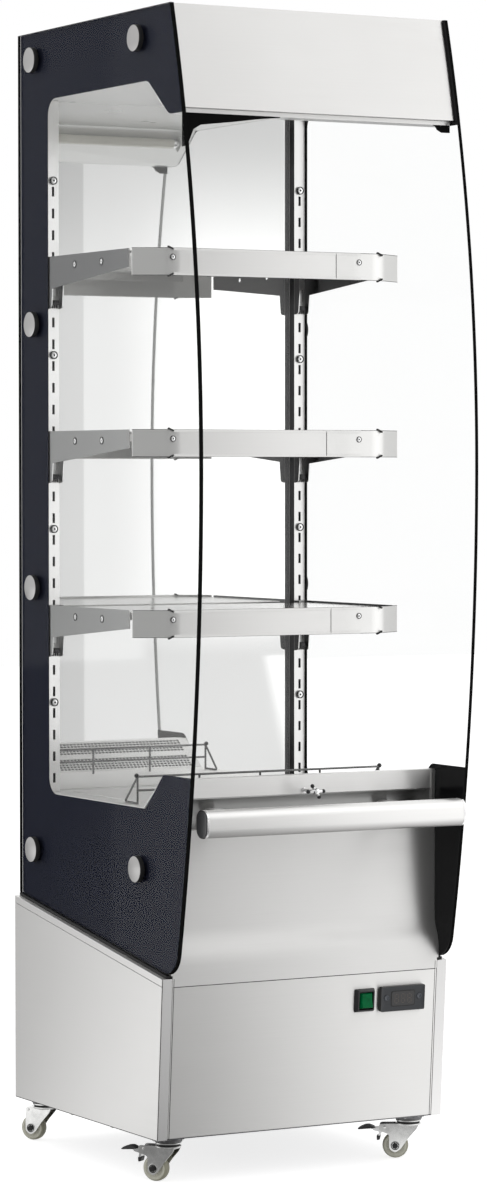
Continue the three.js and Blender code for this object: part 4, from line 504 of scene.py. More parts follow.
def buildFloor():
    g = ground
    bm = bmesh.new()
    bmesh.ops.create_grid(bm, x_segments=1, y_segments=1, size=g["size"])
    floor = toObject(bm, "floor")
    material, tree, shader = newMaterial("paleFloor")
    feed(shader, {"Base Color": g["tone"], "Roughness": g["rough"], "Specular IOR Level": 0.0})
    glow = addNode(tree, "ShaderNodeEmission", {"Color": white, "Strength": g["glow"]})
    total = addNode(tree, "ShaderNodeAddShader", {0: shader.outputs["BSDF"], 1: glow.outputs["Emission"]})
    # Metal sees a floor whose tone falls off across the two ways the visible faces look
    coordinates = addNode(tree, "ShaderNodeTexCoord")
    place = addNode(tree, "ShaderNodeSeparateXYZ", {0: coordinates.outputs["Object"]})
    aside = sideways(tree, place)
    half = times(tree, place.outputs["Y"], g["turnOver"])
    half = calculate(tree, "MAXIMUM", calculate(tree, "MINIMUM", half, 1.0), -1.0)
    across = times(tree, times(tree, aside, half), -1.0)
    across = minus(tree, across, times(tree, plus(tree, half, 1.0), g["offset"]))
    near = rise(tree, across, *g["fall"], g["low"], g["high"])
    # Far in front it is grey on the left and white on the right
    far = rise(tree, times(tree, place.outputs["Y"], -1.0), *g["far"])
    strength = blend(tree, far, near, rise(tree, aside, *g["farAside"], g["farLow"], g["farHigh"]))
    even = addNode(tree, "ShaderNodeEmission", {"Color": white, "Strength": strength})
    seen, isGlossy = seenDirectly(tree)
    direct = mixShaders(tree, isGlossy, total.outputs["Shader"], even.outputs["Emission"])
    feed(tree.nodes["Material Output"], {"Surface": mixShaders(tree, seen, shader.outputs["BSDF"], direct)})
    floor.data.materials.append(material)


def buildBoxes():
    for name, values in light["boxes"].items():
        area = bpy.data.lights.new(name, "AREA")
        area.shape = "RECTANGLE"
        area.size, area.size_y = light["boxSize"]
        area.energy = values["power"]
        softBox = bpy.data.objects.new(name, area)
        bpy.context.scene.collection.objects.link(softBox)
        softBox.location = at(*values["place"])
        turn = math.radians(values["turn"])
        way = Vector((-math.sin(turn), math.cos(turn), 0))
        softBox.rotation_euler = way.to_track_quat("-Z", "Y").to_euler()


bpy.context.scene.view_settings.view_transform = "Standard"
buildCamera()
buildWorld()
buildFloor()
buildBoxes()
print("camera, light and floor made")


def dress(name, material, bevel):
    node = nodes[name]
    node.data.materials.clear()
    node.data.materials.append(material)
    if bevel:
        weld = node.modifiers.new("joined corners", "WELD")
        weld.merge_threshold = 0.00001
        addBevel(node, bevel)


kept = {
    "base_shell": (baseSteel, 0.9), "base_front_cover": (steelX, 0.8), "base_floor": (darkSteel, 0.0),
    "left_gasket": (rubber, 0.5), "right_gasket": (rubber, 0.5),
    "rear_cover": (steelZ, 0.0), "rear_wall": (mirrorSteel, 0.0),
    "left_upright": (uprightSteel, 0.4), "right_upright": (uprightSteel, 0.4),
    "canopy": (steelX, 0.0), "canopy_soffit": (soffitSteel, 0.3), "deck": (sillSteel, 0.4),
    "fan_housing": (blackPaint, 0.8), "fan_rotor": (darkSteel, 0.4), "air_heater": (darkSteel, 0.0),
}
for index in (1, 2, 3):
    # the top brackets take the darker painted-shade steel
    kept[f"left_bracket_{index}"] = (topBracketSteel if index == 3 else bracketSteel, 0.4)
    kept[f"right_bracket_{index}"] = (rightBracketSteel, 0.4)
for name, (material, bevel) in kept.items():
    dress(name, material, bevel)
print("CAD nodes dressed")


glass = {"inner": 233.5, "outer": 239.5, "print": 1.1, "printGap": 0.3, "rimProud": 0.15, "rimDepth": 1.3,
         "rimInner": {"left": 233.6, "right": 234.9}, "front": -299, "rear": baseRear, "top": 1750,
         "apex": 1065, "upperSweep": 2673, "lowerSweep": 3800, "corner": 40,
         "foot": 317, "slope": 0.158149, "slopeFrom": -198,
         "windowRear": 205, "windowTop": 1643, "windowFoot": 559, "windowCorner": 26,
         "stepTop": (-129.5, 1642.8), "stepFoot": (-196, 1588), "stepRadius": 9,
         "sillTop": 614, "sillBack": -176, "sillFoot": -120, "sillRadius": 7}


def sweepY(z, inset=0):
    sweep = glass["upperSweep" if z > glass["apex"] else "lowerSweep"] - inset
    return glass["front"] + inset + sweep - math.sqrt(sweep ** 2 - (z - glass["apex"]) ** 2)


def footZ(y):
    return glass["foot"] + glass["slope"] * (y - glass["slopeFrom"])


def arc(centre, radius, start, end, steps):
    return [(centre[0] + radius * math.cos(start + (end - start) * i / steps),
             centre[1] + radius * math.sin(start + (end - start) * i / steps)) for i in range(steps + 1)]


# Centre of the round lower front corner, inside the sweep and above the sloped foot
def lowCorner():
    slope, corner = glass["slope"], glass["corner"]
    middle = glass["front"] + glass["lowerSweep"]
    lift = corner * math.hypot(1, slope)
    drop = footZ(middle) + lift - glass["apex"]
    a = 1 + slope ** 2
    b = 2 * slope * drop
    c = drop ** 2 - (glass["lowerSweep"] - corner) ** 2
    y = middle + (-b - math.sqrt(b ** 2 - 4 * a * c)) / (2 * a)
    return y, footZ(y) + lift


# The round low corner, from the sweep to the foot at a number of half turns
def cornerArc(halfTurns, inset=0):
    g, corner = glass, lowCorner()
    lean = math.atan2(g["apex"] - corner[1], g["lowerSweep"] + g["front"] - corner[0])
    return arc(corner, g["corner"] - inset, math.pi + lean, math.atan(g["slope"]) + math.pi * halfTurns, 8)


def frontEdge(high, low, steps, inset=0):
    heights = [high + (low - high) * i / steps for i in range(steps + 1)]
    return [(sweepY(z, inset), z) for z in heights]


# The inner corners of a path in (y, z), rounded
def rounded(points, radius):
    made = softened([Vector((y, z, 0)) for y, z in points], radius * 1000, 4)
    return [(p.x, p.y) for p in made[1:-1]]


# Outline of the printed border, or of the whole sheet where "whole" is set
def glassOutline(whole):
    g, low = glass, cornerArc(1.5)
    points = [(g["rear"], footZ(g["rear"])), (g["rear"], g["top"])]
    if whole:
        return points + frontEdge(g["top"], low[0][1], 60) + low[1:]
    radius = g["windowCorner"]
    inner = g["windowRear"] - radius
    points += frontEdge(g["top"], g["stepFoot"][1], 10)
    points += rounded([points[-1], g["stepFoot"], g["stepTop"], (inner, g["windowTop"])], g["stepRadius"])
    points += arc((inner, g["windowTop"] - radius), radius, math.pi / 2, 0, 8)
    points += arc((inner, g["windowFoot"] + radius), radius, 0, -math.pi / 2, 8)
    points += rounded([points[-1], (g["sillFoot"], g["windowFoot"]), (g["sillBack"], g["sillTop"]),
                       (g["front"], g["sillTop"])], g["sillRadius"])
    return points + frontEdge(g["sillTop"], low[0][1], 12) + low[1:]


def buildGlass(side, sign):
    inner, outer, depth = glass["inner"], glass["outer"], glass["print"]
    layers = (("Glass", True, inner + depth, outer, [clearGlass, clearGlass, glassEdge]),
              ("Print", False, inner, inner + depth - glass["printGap"], [printGlass, innerPrint, innerPrint]))
    for part, whole, inside, outside, materials in layers:
        bm = bmesh.new()
        pullOutline(bm, inPlane(sign * outside, glassOutline(whole)), spot(sign * (inside - outside), 0, 0))

        def choose(face, middle):  # outside, inside, then the cut edge
            out = face.normal.x * sign
            return 0 if out > 0.9 else 1 if out < -0.9 else 2

        paintFaces(bm, choose)
        replaced = (f"{side}_glass",) if whole else ()
        finishPiece(bm, f"{side}{part}", "cabinet", materials, replaced)


# A black edge strip along the front of each sheet and round its low corner.
# Its back is painted pale, a painted light that the wall mirrors.
def buildRim(side, sign):
    g = glass
    paths = []
    for inset in (-g["rimProud"], g["rimDepth"]):
        low = cornerArc(1.46, inset)
        paths.append(frontEdge(g["top"] - 0.5, low[0][1], 60, inset) + low[1:])
    bm = bmesh.new()
    outer = g["outer"] + g["rimProud"]
    pullOutline(bm, inPlane(sign * outer, paths[0] + paths[1][::-1]),
                spot(sign * (g["rimInner"][side] - outer), 0, 0))
    paintFaces(bm, lambda face, middle: 1 if face.normal.y > 0.5 else 0)
    finishPiece(bm, f"{side}GlassRim", "cabinet", [glassRim, paintedLightRimBack])


for side, sign in sides:
    buildGlass(side, sign)
    buildRim(side, sign)
print("side glasses made")


cap = {"radius": 20, "face": 239.8, "proud": 8.4, "edge": 1.4, "foot": (1, 0.6), "spigot": 6, "back": 233.5}


def buildCap(index, side, sign):
    low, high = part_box(f"{side}_cap_{index}")
    middle = (low + high) / 2
    place = Vector((shiftX + sign * mm(cap["face"]), middle.y, middle.z))
    bm = bmesh.new()
    rim, edge, proud, spigot = cap["radius"], cap["edge"], cap["proud"], cap["spigot"]
    depth = cap["back"] - cap["face"]
    profile = [(0, depth), (spigot, depth), (spigot, 0), (rim - cap["foot"][0], 0), (rim, cap["foot"][1]),
               (rim, proud - edge), (rim - edge * 0.35, proud - edge * 0.3), (rim - edge, proud), (0, proud)]
    turned(bm, profile, place, (sign, 0, 0), 40)
    paintFaces(bm, lambda face, middle: 0 if face.normal.x * sign > 0.45 else 1)
    replaced = (f"{side}_cap_{index}",)
    finishPiece(bm, f"{side}Cap{index}", "cabinet", [capSteel, blackPaint], replaced)


for index in range(1, 7):
    for side, sign in sides:
        buildCap(index, side, sign)
print("caps made")


sill = {"x": 233.2, "front": -187, "faceFoot": 577.3, "top": 606, "ledge": 19, "run": 56, "deck": 560.3,
        "sheet": 1.5, "ear": 7.3, "bands": 2, "rows": 5, "columns": 66, "pitch": 6.6, "rowPitch": 5.6,
        "hole": 3.6, "holeCorner": 0.29, "bandGap": 10, "filterDepth": 5, "filterEdge": 2, "filterSheet": 0.8}


# The slanted face is a border and a grid of cells that are inset, rounded and opened
def buildSill():
    s = sill
    bm = bmesh.new()
    faceX = s["x"] - s["ear"]
    front, ledge, lip = s["front"], s["front"] + s["ledge"], s["top"] - s["sheet"]
    pullPath(bm, inPlane(-faceX, [(front, s["faceFoot"]), (front, lip)]), spot(2 * faceX, 0, 0))
    pullPath(bm, inPlane(-s["x"], [(front, lip), (front, s["top"]), (ledge, s["top"])]), spot(2 * s["x"], 0, 0))
    top = at(0, ledge, s["top"])
    foot = at(0, ledge + s["run"], s["deck"])
    slant = foot - top
    down = slant.normalized()
    gridX = s["columns"] * s["pitch"] / 2
    bandHeight = s["rows"] * s["rowPitch"]
    edge = (slant.length * 1000 - s["bands"] * bandHeight - (s["bands"] - 1) * s["bandGap"]) / 2
    cuts = [0]
    for band in range(s["bands"]):
        start = edge + band * (bandHeight + s["bandGap"])
        cuts += [start + i * s["rowPitch"] for i in range(s["rows"] + 1)]
    cuts.append(slant.length * 1000)
    across = [-s["x"]] + [-gridX + i * s["pitch"] for i in range(s["columns"] + 1)] + [s["x"]]
    openFaces = []
    for column, (left, right) in enumerate(zip(across, across[1:])):
        made = pullPath(bm, [top + down * mm(c) + spot(left, 0, 0) for c in cuts], spot(right - left, 0, 0))
        if 0 < column <= s["columns"]:
            made.sort(key=lambda f: -f.calc_center_median().z)
            for band in range(s["bands"]):
                first = 1 + band * (s["rows"] + 1)
                openFaces += made[first:first + s["rows"]]
    bmesh.ops.remove_doubles(bm, verts=bm.verts, dist=joinDistance)
    bmesh.ops.inset_individual(bm, faces=openFaces, thickness=mm((s["rowPitch"] - s["hole"]) / 2))
    corners = list({v for f in openFaces for v in f.verts})
    bmesh.ops.bevel(bm, geom=corners, offset=mm(s["hole"] * s["holeCorner"]), segments=1, affect="VERTICES",
                    profile=0.5, material=-1)
    inner = [f for f in bm.faces if len(f.verts) == 8 and f.calc_area() < mm(s["hole"]) * mm(s["pitch"])]
    bmesh.ops.delete(bm, geom=inner, context="FACES")
    piece = finishPiece(bm, "airSill", "cabinet", sillSteel, ("air_sill",), smooth=False)
    addSheet(piece, s["sheet"])
    print("sill faces", len(piece.data.polygons), "holes", len(inner))
    # Dark filter behind the holes
    bm = bmesh.new()
    inward = Vector((0, down.z, -down.y)) * mm(s["filterDepth"])
    inset = down * mm(edge - s["filterEdge"])
    pullPath(bm, [p + inward + spot(-gridX, 0, 0) for p in (top + inset, foot - inset)], spot(2 * gridX, 0, 0))
    addSheet(finishPiece(bm, "sillFilter", "cabinet", darkLine), s["filterSheet"])


buildSill()


panel = {"x": 233.2, "front": -187, "top": 604.2, "curveTop": 385, "curveEnd": 330, "curveSteps": 24,
         "seam": 299, "gap": 0.3, "sheet": 1.5, "shoulder": 530.3, "ear": 7, "return": 14, "footX": 230.7,
         "baseFront": -198, "baseTop": 312, "lean": 17 / 243}
recess = {"x": 225.9, "centre": 553.8, "radius": 23.2, "sheet": 1.5}
bar = {"x": 224.5, "y": -275.5, "z": 547, "depth": 33, "height": 41, "corner": 13, "capLength": 1.6,
       "capInset": 1.2, "capGap": 0.1, "rimProud": 0.3, "rimStart": 0.15, "rimLength": 3.2,
       "armX": 151, "armWidth": 26, "armZ": 556, "armThick": 9, "armReach": 18, "armRound": 0.45}


def leanY(z):
    return panel["baseFront"] + panel["lean"] * (panel["baseTop"] - z)


def buildPanel():
    p = panel
    front, bend = p["front"], leanY(p["curveEnd"])
    half = (p["curveTop"] + p["curveEnd"]) / 2
    lower = [(front, p["shoulder"])]
    for i in range(p["curveSteps"] + 1):
        t = i / p["curveSteps"]
        a, b, c, d = (1 - t) ** 3, 3 * t * (1 - t) ** 2, 3 * t ** 2 * (1 - t), t ** 3
        lower.append((front * (a + b) + bend * (c + d), p["curveTop"] * a + half * (b + c) + p["curveEnd"] * d))
    footTop = p["baseTop"] + glass["slope"] * (front + p["return"] - glass["slopeFrom"]) + p["gap"]
    lower.append((leanY(footTop), footTop))
    bm = bmesh.new()
    pullPath(bm, inPlane(-p["x"], lower), spot(2 * p["x"], 0, 0))
    foot = [(leanY(z), z) for z in (footTop, p["seam"] + p["gap"])]
    pullPath(bm, inPlane(-p["footX"], foot), spot(2 * p["footX"], 0, 0))
    for side, sign in sides:
        start, end = sorted((sign * (p["x"] - p["ear"]), sign * p["x"]))
        pullPath(bm, inPlane(start, [(front, p["top"]), (front, p["shoulder"])]), spot(end - start, 0, 0))
        pullPath(bm, inPlane(sign * p["x"], lower), spot(0, p["return"], 0))  # a folded return down each side
    piece = finishPiece(bm, "frontPanel", "cabinet", panelSteel, ("front_panel",))
    addSheet(piece, p["sheet"])
    addBevel(piece, 0.5)


def buildRecess():
    r = recess
    bm = bmesh.new()
    points = arc((panel["front"], r["centre"]), r["radius"], math.pi / 2, -math.pi / 2, 32)
    pullPath(bm, inPlane(-r["x"], points), spot(2 * r["x"], 0, 0))
    for side, sign in sides:
        bmesh.ops.contextual_create(bm, geom=chain(bm, inPlane(sign * r["x"], points), True)[1])
    addSheet(finishPiece(bm, "gripRecess", "cabinet", recessSteel, ("grip_recess",)), r["sheet"])


def barSection(grow=0):
    b = bar
    right, top, corner = b["depth"] / 2 + grow, b["height"] / 2 + grow, b["corner"] + grow
    points = []
    for index, (sy, sz) in enumerate(((1, 1), (-1, 1), (-1, -1), (1, -1))):
        centre = (b["y"] + sy * (right - corner), b["z"] + sz * (top - corner))
        points += arc(centre, corner, index * math.pi / 2, (index + 1) * math.pi / 2, 10)
    return points


def buildBar():
    b = bar
    bodyX = b["x"] - b["capLength"]
    halfWidth, halfThick = b["armWidth"] / 2, b["armThick"] / 2
    bm = bmesh.new()
    pullOutline(bm, inPlane(-bodyX, barSection()), spot(2 * bodyX, 0, 0))
    for side, sign in sides:
        middle = sign * b["armX"]
        box(bm, at(middle - halfWidth, b["y"], b["armZ"] - halfThick),
            at(middle + halfWidth, panel["front"] + b["armReach"], b["armZ"] + halfThick),
            b["armThick"] * b["armRound"], 4)
    finishPiece(bm, "handleBar", "cabinet", barSteel, ("handle_bar",))
    bm = bmesh.new()
    for side, sign in sides:
        pullOutline(bm, inPlane(sign * (bodyX + b["capGap"]), barSection(-b["capInset"])),
                    spot(sign * (b["capLength"] - b["capGap"]), 0, 0))
    finishPiece(bm, "handleBarEnds", "cabinet", endPlastic, bevel=1.2, segments=3)
    bm = bmesh.new()
    for side, sign in sides:
        pullOutline(bm, inPlane(sign * (bodyX + b["rimStart"]), barSection(b["rimProud"])),
                    spot(-sign * b["rimLength"], 0, 0))
    finishPiece(bm, "handleBarRims", "cabinet", chrome, bevel=0.3)


buildPanel()
buildRecess()
buildBar()
print("front panel, recess and bar made")


guard = {"y": -57, "low": 560.3, "high": 603.8, "mid": 581.3, "first": -215, "pitch": 106.5, "posts": 5,
         "leg": 41, "legBend": 6, "wire": 1.7, "cap": 3.6, "capOut": 1.5}


def buildGuard():
    g = guard
    first, last = g["first"], g["first"] + g["pitch"] * (g["posts"] - 1)
    rail, foot = g["high"] - g["wire"], g["low"] + g["wire"]
    bm = bmesh.new()
    for z in (rail, g["mid"]):
        wire(bm, [at(first, g["y"], z), at(last, g["y"], z)], g["wire"])
    for i in range(g["posts"]):
        x = first + i * g["pitch"]
        wire(bm, [at(x, g["y"], g["low"]), at(x, g["y"], rail)], g["wire"])
    for x in (first, last):
        path = [at(x, g["y"], foot), at(x, g["y"] + g["leg"], foot), at(x, g["y"], rail)]
        wire(bm, softened(path, g["legBend"]), g["wire"])
    finishPiece(bm, "wireGuard", "guard", wireSteel, ("wire_guard",), sharp=50)
    bm = bmesh.new()
    for x, sign in ((first, -1), (last, 1)):
        ball(bm, g["cap"], at(x + sign * g["capOut"], g["y"], rail + g["capOut"]))
    finishPiece(bm, "wireGuardCaps", "guard", blackPlastic, sharp=60)


buildGuard()
print("wire guard made")


# Round screws with a dark ring and a dark middle, all in one piece; the profile is in shares
screw = {"profile": [(0, 0.45), (0.2, 0.45), (0.26, 1.0), (0.62, 0.95), (0.66, 0.35), (0.76, 0.35), (0.8, 0.9),
                     (0.86, 0.85), (1, 0.7), (1, 0)], "darkMiddle": 0.22, "darkRing": 0.76}


def ringScrews(name, body, places, axis, radius, height=1.2):
    bm = bmesh.new()
    for place in places:
        turned(bm, [(r * radius, h * height) for r, h in screw["profile"]], place, axis, 20)

    def choose(face, middle):
        away = min((middle - place).cross(Vector(axis)).length for place in places) / mm(radius)
        return 1 if away < screw["darkMiddle"] or away > screw["darkRing"] else 0

    paintFaces(bm, choose)
    finishPiece(bm, name, body, [chrome, darkLine], sharp=50)


# Shelves: a front band with rounded bends, folded hems, a seam and ringed screws, and a tray behind it
shelf = {"end": 232.9, "endY": -76, "cornerX": 182.9, "frontY": -107, "bend": 16, "height": 41, "sheet": 1.5,
         "trayDrop": 3, "trayX": 230.8, "trayRear": 190.8, "lowest": 854.5, "pitch": 272,
         "foldY": (-73, 178.8), "foldEnd": 6, "foldHeight": 11, "hem": 4.2, "hemProud": 0.35,
         "hemEnds": (-180, 148), "seams": (95, 87, 104), "seamWidth": 0.7, "line": 0.7,
         "notchX": 5, "notchY": (-0.35, 4), "notchHeight": 2.2, "notchTilt": 0.45,
         "screwX": (-180, 145), "screwDrop": 14, "bracketScrewX": -232.3, "bracketScrewY": (25.2, 115.4), "bracketScrewDrop": 16,
         "clipX": 222.6, "clipDrop": 81, "clipHalf": 5.5, "clipY": (199.5, 206), "clipZ": (6, 13.5),
         "teeth": (-3.6, 0, 3.6), "toothHalf": 0.8, "toothY": (203.5, 205.8), "toothZ": (1, 6.5)}


# Front path in plan, moved inwards by "inset"
def bandPath(inset):
    s = shelf
    slope = math.atan2(s["endY"] - s["frontY"], s["end"] - s["cornerX"])
    cornerX, endY = s["cornerX"] - inset * math.tan(slope / 2), s["endY"] + inset / math.cos(slope)
    frontY = s["frontY"] + inset
    corners = [(-s["end"], endY), (-cornerX, frontY), (cornerX, frontY), (s["end"], endY)]
    return softened([spot(x, y, 0) for x, y in corners], s["bend"], 6)


def seated(points, z):
    return [Vector((shiftX + p.x, shiftY + p.y, mm(z))) for p in points]


def buildShelf(index):
    s = shelf
    front, sheet = s["frontY"], s["sheet"]
    top = s["lowest"] + (index - 1) * s["pitch"]
    low = top - s["height"]
    bm = bmesh.new()
    pullOutline(bm, seated(bandPath(0) + bandPath(sheet)[::-1], low), spot(0, 0, s["height"]))
    trayFoot = top - s["trayDrop"] - sheet
    trayX, rear = s["trayX"], s["trayRear"]
    path = [p for p in bandPath(sheet * 0.6) if abs(p.x) < mm(trayX)]
    path += [spot(x, y, 0) for x, y in ((trayX, s["endY"]), (trayX, rear), (-trayX, rear), (-trayX, s["endY"]))]
    pullOutline(bm, seated(path, trayFoot), spot(0, 0, sheet))
    foldX = s["cornerX"] - s["foldEnd"]
    for y in s["foldY"]:  # stiffening folds under the tray, along its front and its rear
        box(bm, at(-foldX, y, trayFoot - s["foldHeight"]), at(foldX, y + sheet, trayFoot + 0.5))
    start, finish = s["hemEnds"]
    for z in (top - s["hem"], low):
        box(bm, at(start, front - s["hemProud"], z), at(finish, front + 0.4, z + s["hem"]))
    body = f"shelf_{index}_body"
    finishPiece(bm, f"shelf{index}", body, shelfSteel, (f"shelf_{index}",), bevel=0.35)
    # Thin dark lines: the seam between the two strips, outlines above and below that are painted shade along the
    # edges, notches at the bends
    bm = bmesh.new()
    seam, halfSeam = s["seams"][index - 1], s["seamWidth"] / 2
    box(bm, at(seam - halfSeam, front - s["hemProud"] - 0.06, low + sheet),
        at(seam + halfSeam, front + 0.5, top - sheet))
    # The outlines are painted shade lines along the top and bottom edges of the band
    outline = bandPath(-0.12) + bandPath(0.5)[::-1]
    for z in (top - s["line"] * 0.6, low - s["line"] * 0.4):
        pullOutline(bm, seated(outline, z), spot(0, 0, s["line"]))
    for side, sign in sides:
        x = sign * s["cornerX"]
        for z, tilt in ((top - 1.4, s["notchTilt"]), (low - 0.6, -s["notchTilt"])):
            notch = box(bm, at(x - s["notchX"], front + s["notchY"][0], z),
                        at(x + s["notchX"], front + s["notchY"][1], z + s["notchHeight"]))
            bmesh.ops.rotate(bm, verts=notch, cent=at(x, front, z + 1), matrix=Matrix.Rotation(tilt, 3, "Y"))
    finishPiece(bm, f"shelfLines{index}", body, darkLine)
    places = [at(x, front + 0.2, top - s["screwDrop"]) for x in s["screwX"]]
    ringScrews(f"shelfScrews{index}", body, places, (0, -1, 0), 4.6)
    places = [at(s["bracketScrewX"], y, top - s["bracketScrewDrop"]) for y in s["bracketScrewY"]]
    ringScrews(f"bracketScrews{index}", body, places, (-1, 0, 0), 6.0, 1.0)
    # Foot clips of the two brackets
    bm = bmesh.new()
    foot = top - s["clipDrop"]
    for side, sign in sides:
        middle = sign * s["clipX"]
        parts = [(middle, s["clipHalf"], s["clipY"], s["clipZ"], 0.6)]
        parts += [(middle + x, s["toothHalf"], s["toothY"], s["toothZ"], 0) for x in s["teeth"]]
        for x, half, ys, zs, bevel in parts:
            box(bm, at(x - half, ys[0], foot + zs[0]), at(x + half, ys[1], foot + zs[1]), bevel, 2)
    finishPiece(bm, f"shelfClips{index}", body, blackPlastic)


for index in (1, 2, 3):
    buildShelf(index)
upright = {"x": 222.6, "screwY": 208.1, "screwZ": (701.5, 973.5, 1245.5, 1517.5)}
places = [at(sign * upright["x"], upright["screwY"], z) for side, sign in sides for z in upright["screwZ"]]
ringScrews("uprightScrews", "cabinet", places, (0, -1, 0), 6.4, 2.0)
print("shelves and screws made")


# Castors are drawn pointing backwards along -x, then turned to their heading and set down at their place
castor = {"x": 211, "rows": {"front": -147, "rear": 268}, "trail": 20, "wheel": 20,
          "headings": {"front_left": 56, "front_right": 34, "rear_left": 55, "rear_right": 40}}


def setDown(bm, corner):
    row, side = corner.split("_")
    turn = Matrix.Rotation(-math.radians(castor["headings"][corner]), 3, "Z")
    bmesh.ops.rotate(bm, verts=bm.verts, cent=(0, 0, 0), matrix=turn)
    x = castor["x"] * dict(sides)[side]
    bmesh.ops.translate(bm, verts=bm.verts, vec=at(x, castor["rows"][row], 0))


# A rounded side outline in (x, z), pulled across from -half to half
def pullSide(bm, outline, half, radius, steps):
    curve = closedCurve([spot(x, 0, z) for x, z in outline], radius, steps)
    return pullOutline(bm, [p + spot(0, -half, 0) for p in curve], spot(0, 2 * half, 0))


fork = {"cheek": 9.5, "sheet": 2, "corner": 4.2, "back": {"front": -45, "rear": -29},
        "rivet": {"front": (-36, 49), "rear": (-24, 49)}, "bridge": {"front": -20, "rear": -28},
        "bridgeEnd": 15.5, "bridgeZ": (51, 53.2), "grooveZ": (55.2, 58.4), "grooveFrom": 16.8,
        "nutY": 12.2, "nutZ": 30,
        "swivel": [(0, 61), (18, 61), (19.6, 60.2), (19.6, 58.6), (17.6, 58.2), (17.6, 55.4), (19.6, 55),
                   (19.6, 53.6), (17.8, 51.8), (13, 50.6), (0, 50.6)],
        "outline": [(16.5, 54.5), (13.5, 47), (1, 33), (-11.5, 15), (-20, 9), (-29.2, 15), (-29.5, 38)],
        "pressedRing": [(7.4, -0.2), (7.4, 0.5), (6.6, 0.8), (5.4, 0.8), (5.2, 0.3), (0, 0.3)],
        "nut": [(4.9, 0.2), (4.9, 2.0), (4.2, 2.4), (0, 2.4)],
        "rivetHead": [(2.2, -0.2), (2.2, 0.5), (1.5, 0.9), (0, 0.9)],
        "axle": [(0, -11.6), (2.9, -11.6), (2.9, 11.6), (0, 11.6)]}


def buildFork(corner):
    f, row = fork, corner.split("_")[0]
    back, trail, axleZ = f["back"][row], castor["trail"], castor["wheel"]
    bm = bmesh.new()
    turned(bm, f["swivel"], spot(0, 0, 0), (0, 0, 1), 40)
    outline = f["outline"] + [(back - 0.2, 43), (back, 53.6), (-6, 54.5)]
    cheekShape = closedCurve([spot(x, 0, z) for x, z in outline], f["corner"])
    for side in (-1, 1):
        outer = side * (f["cheek"] + f["sheet"])
        pullOutline(bm, [p + spot(0, side * f["cheek"], 0) for p in cheekShape], spot(0, side * f["sheet"], 0))
        for profile, x, z, steps in ((f["pressedRing"], -trail, axleZ, 28), (f["nut"], -trail, axleZ, 6),
                                     (f["rivetHead"], *f["rivet"][row], 16)):
            turned(bm, profile, spot(x, outer, z), (0, side, 0), steps)
    turned(bm, f["axle"], spot(-trail, 0, axleZ), (0, 1, 0), 20)
    (low, high), half = f["bridgeZ"], f["cheek"] + 1
    box(bm, spot(f["bridge"][row], -half, low), spot(f["bridgeEnd"], half, high), 0.6, 2)

    def choose(face, middle):
        low, high = f["grooveZ"]
        inGroove = mm(low) < middle.z < mm(high) and math.hypot(middle.x, middle.y) > mm(f["grooveFrom"])
        onNut = abs(middle.y) > mm(f["nutY"]) and middle.z < mm(f["nutZ"])
        return 1 if inGroove or onNut else 0

    paintFaces(bm, choose)
    setDown(bm, corner)
    finishPiece(bm, f"{corner}Fork", f"{corner}_fork_body", [forkChrome, darkLine],
                (f"{corner}_fork",), bevel=0.4, sharp=40)


wheel = {"half": [(3.1, 8.4), (7.2, 8.4), (7.6, 8.0), (7.8, 6.9), (11.6, 6.5), (13.4, 7.6), (14.0, 8.3),
                  (16.2, 8.4), (17.6, 7.8), (18.9, 6.4), (19.7, 4.0), (20.0, 1.4)],
         "webs": 5, "webY": (5.7, 7.1), "webX": (7.4, 13.6), "webHalf": 1, "tread": 17, "hub": 7.3}


def buildWheel(corner):
    w = wheel
    profile = w["half"] + [(r, -y) for r, y in w["half"][::-1]]
    bm = bmesh.new()
    place = spot(-castor["trail"], 0, castor["wheel"])
    verts, edges = chain(bm, [place + spot(r, y, 0) for r, y in profile], True)
    bmesh.ops.spin(bm, geom=verts + edges, cent=place, axis=(0, 1, 0), angle=math.tau, steps=56,
                   use_merge=True, use_duplicate=False)
    (start, end), half = w["webX"], w["webHalf"]
    for step in range(w["webs"]):  # shallow webs on each side of the hub
        turn = Matrix.Rotation(math.tau * step / w["webs"], 3, "Y")
        for side in (-1, 1):
            low, high = sorted(side * y for y in w["webY"])
            web = box(bm, place + spot(start, low, -half), place + spot(end, high, half))
            bmesh.ops.rotate(bm, verts=web, cent=place, matrix=turn)

    def choose(face, middle):
        radius = math.hypot(middle.x - place.x, middle.z - place.z)
        return 1 if radius > mm(w["tread"]) else 2 if radius < mm(w["hub"]) else 0

    paintFaces(bm, choose)
    setDown(bm, corner)
    finishPiece(bm, f"{corner}Wheel", f"{corner}_wheel_body", [creamNylon, greyTread, darkSteel],
                (f"{corner}_wheel",), sharp=50)


# Brake pedal: a black beak over a bright plate, with a black shoe held off the tread.
# Each has its side outline, half its width, and the radius and steps of its corners.
pedal = {"beak": ([(-50, 45.6), (-52, 48.2), (-60, 51.4), (-67, 51), (-74, 48), (-79, 44.4), (-76.5, 43.4),
                   (-69, 45.2), (-61, 46.4), (-55, 45)], 7.2, 2.0, 3),
         "band": ([(-21.5, 50.2), (-21.8, 53.2), (-34, 53), (-44, 50.6), (-44.6, 48.6), (-34, 50.4)],
                  8.8, 1.0, 2),
         "shoe": ([(-42.3, 35), (-44.2, 28), (-48.5, 27.3), (-49.2, 34), (-45.5, 36)], 5, 1.2, 2),
         "plate": ([(-22.5, 50.6), (-30, 46), (-40, 42.6), (-43, 35), (-46.5, 35.2), (-45, 41.2), (-54, 43.2),
                    (-56, 46), (-48, 47.6), (-36, 50.6)], 8.3, 1.6, 3), "taperX": (62, 79), "taper": 0.5}


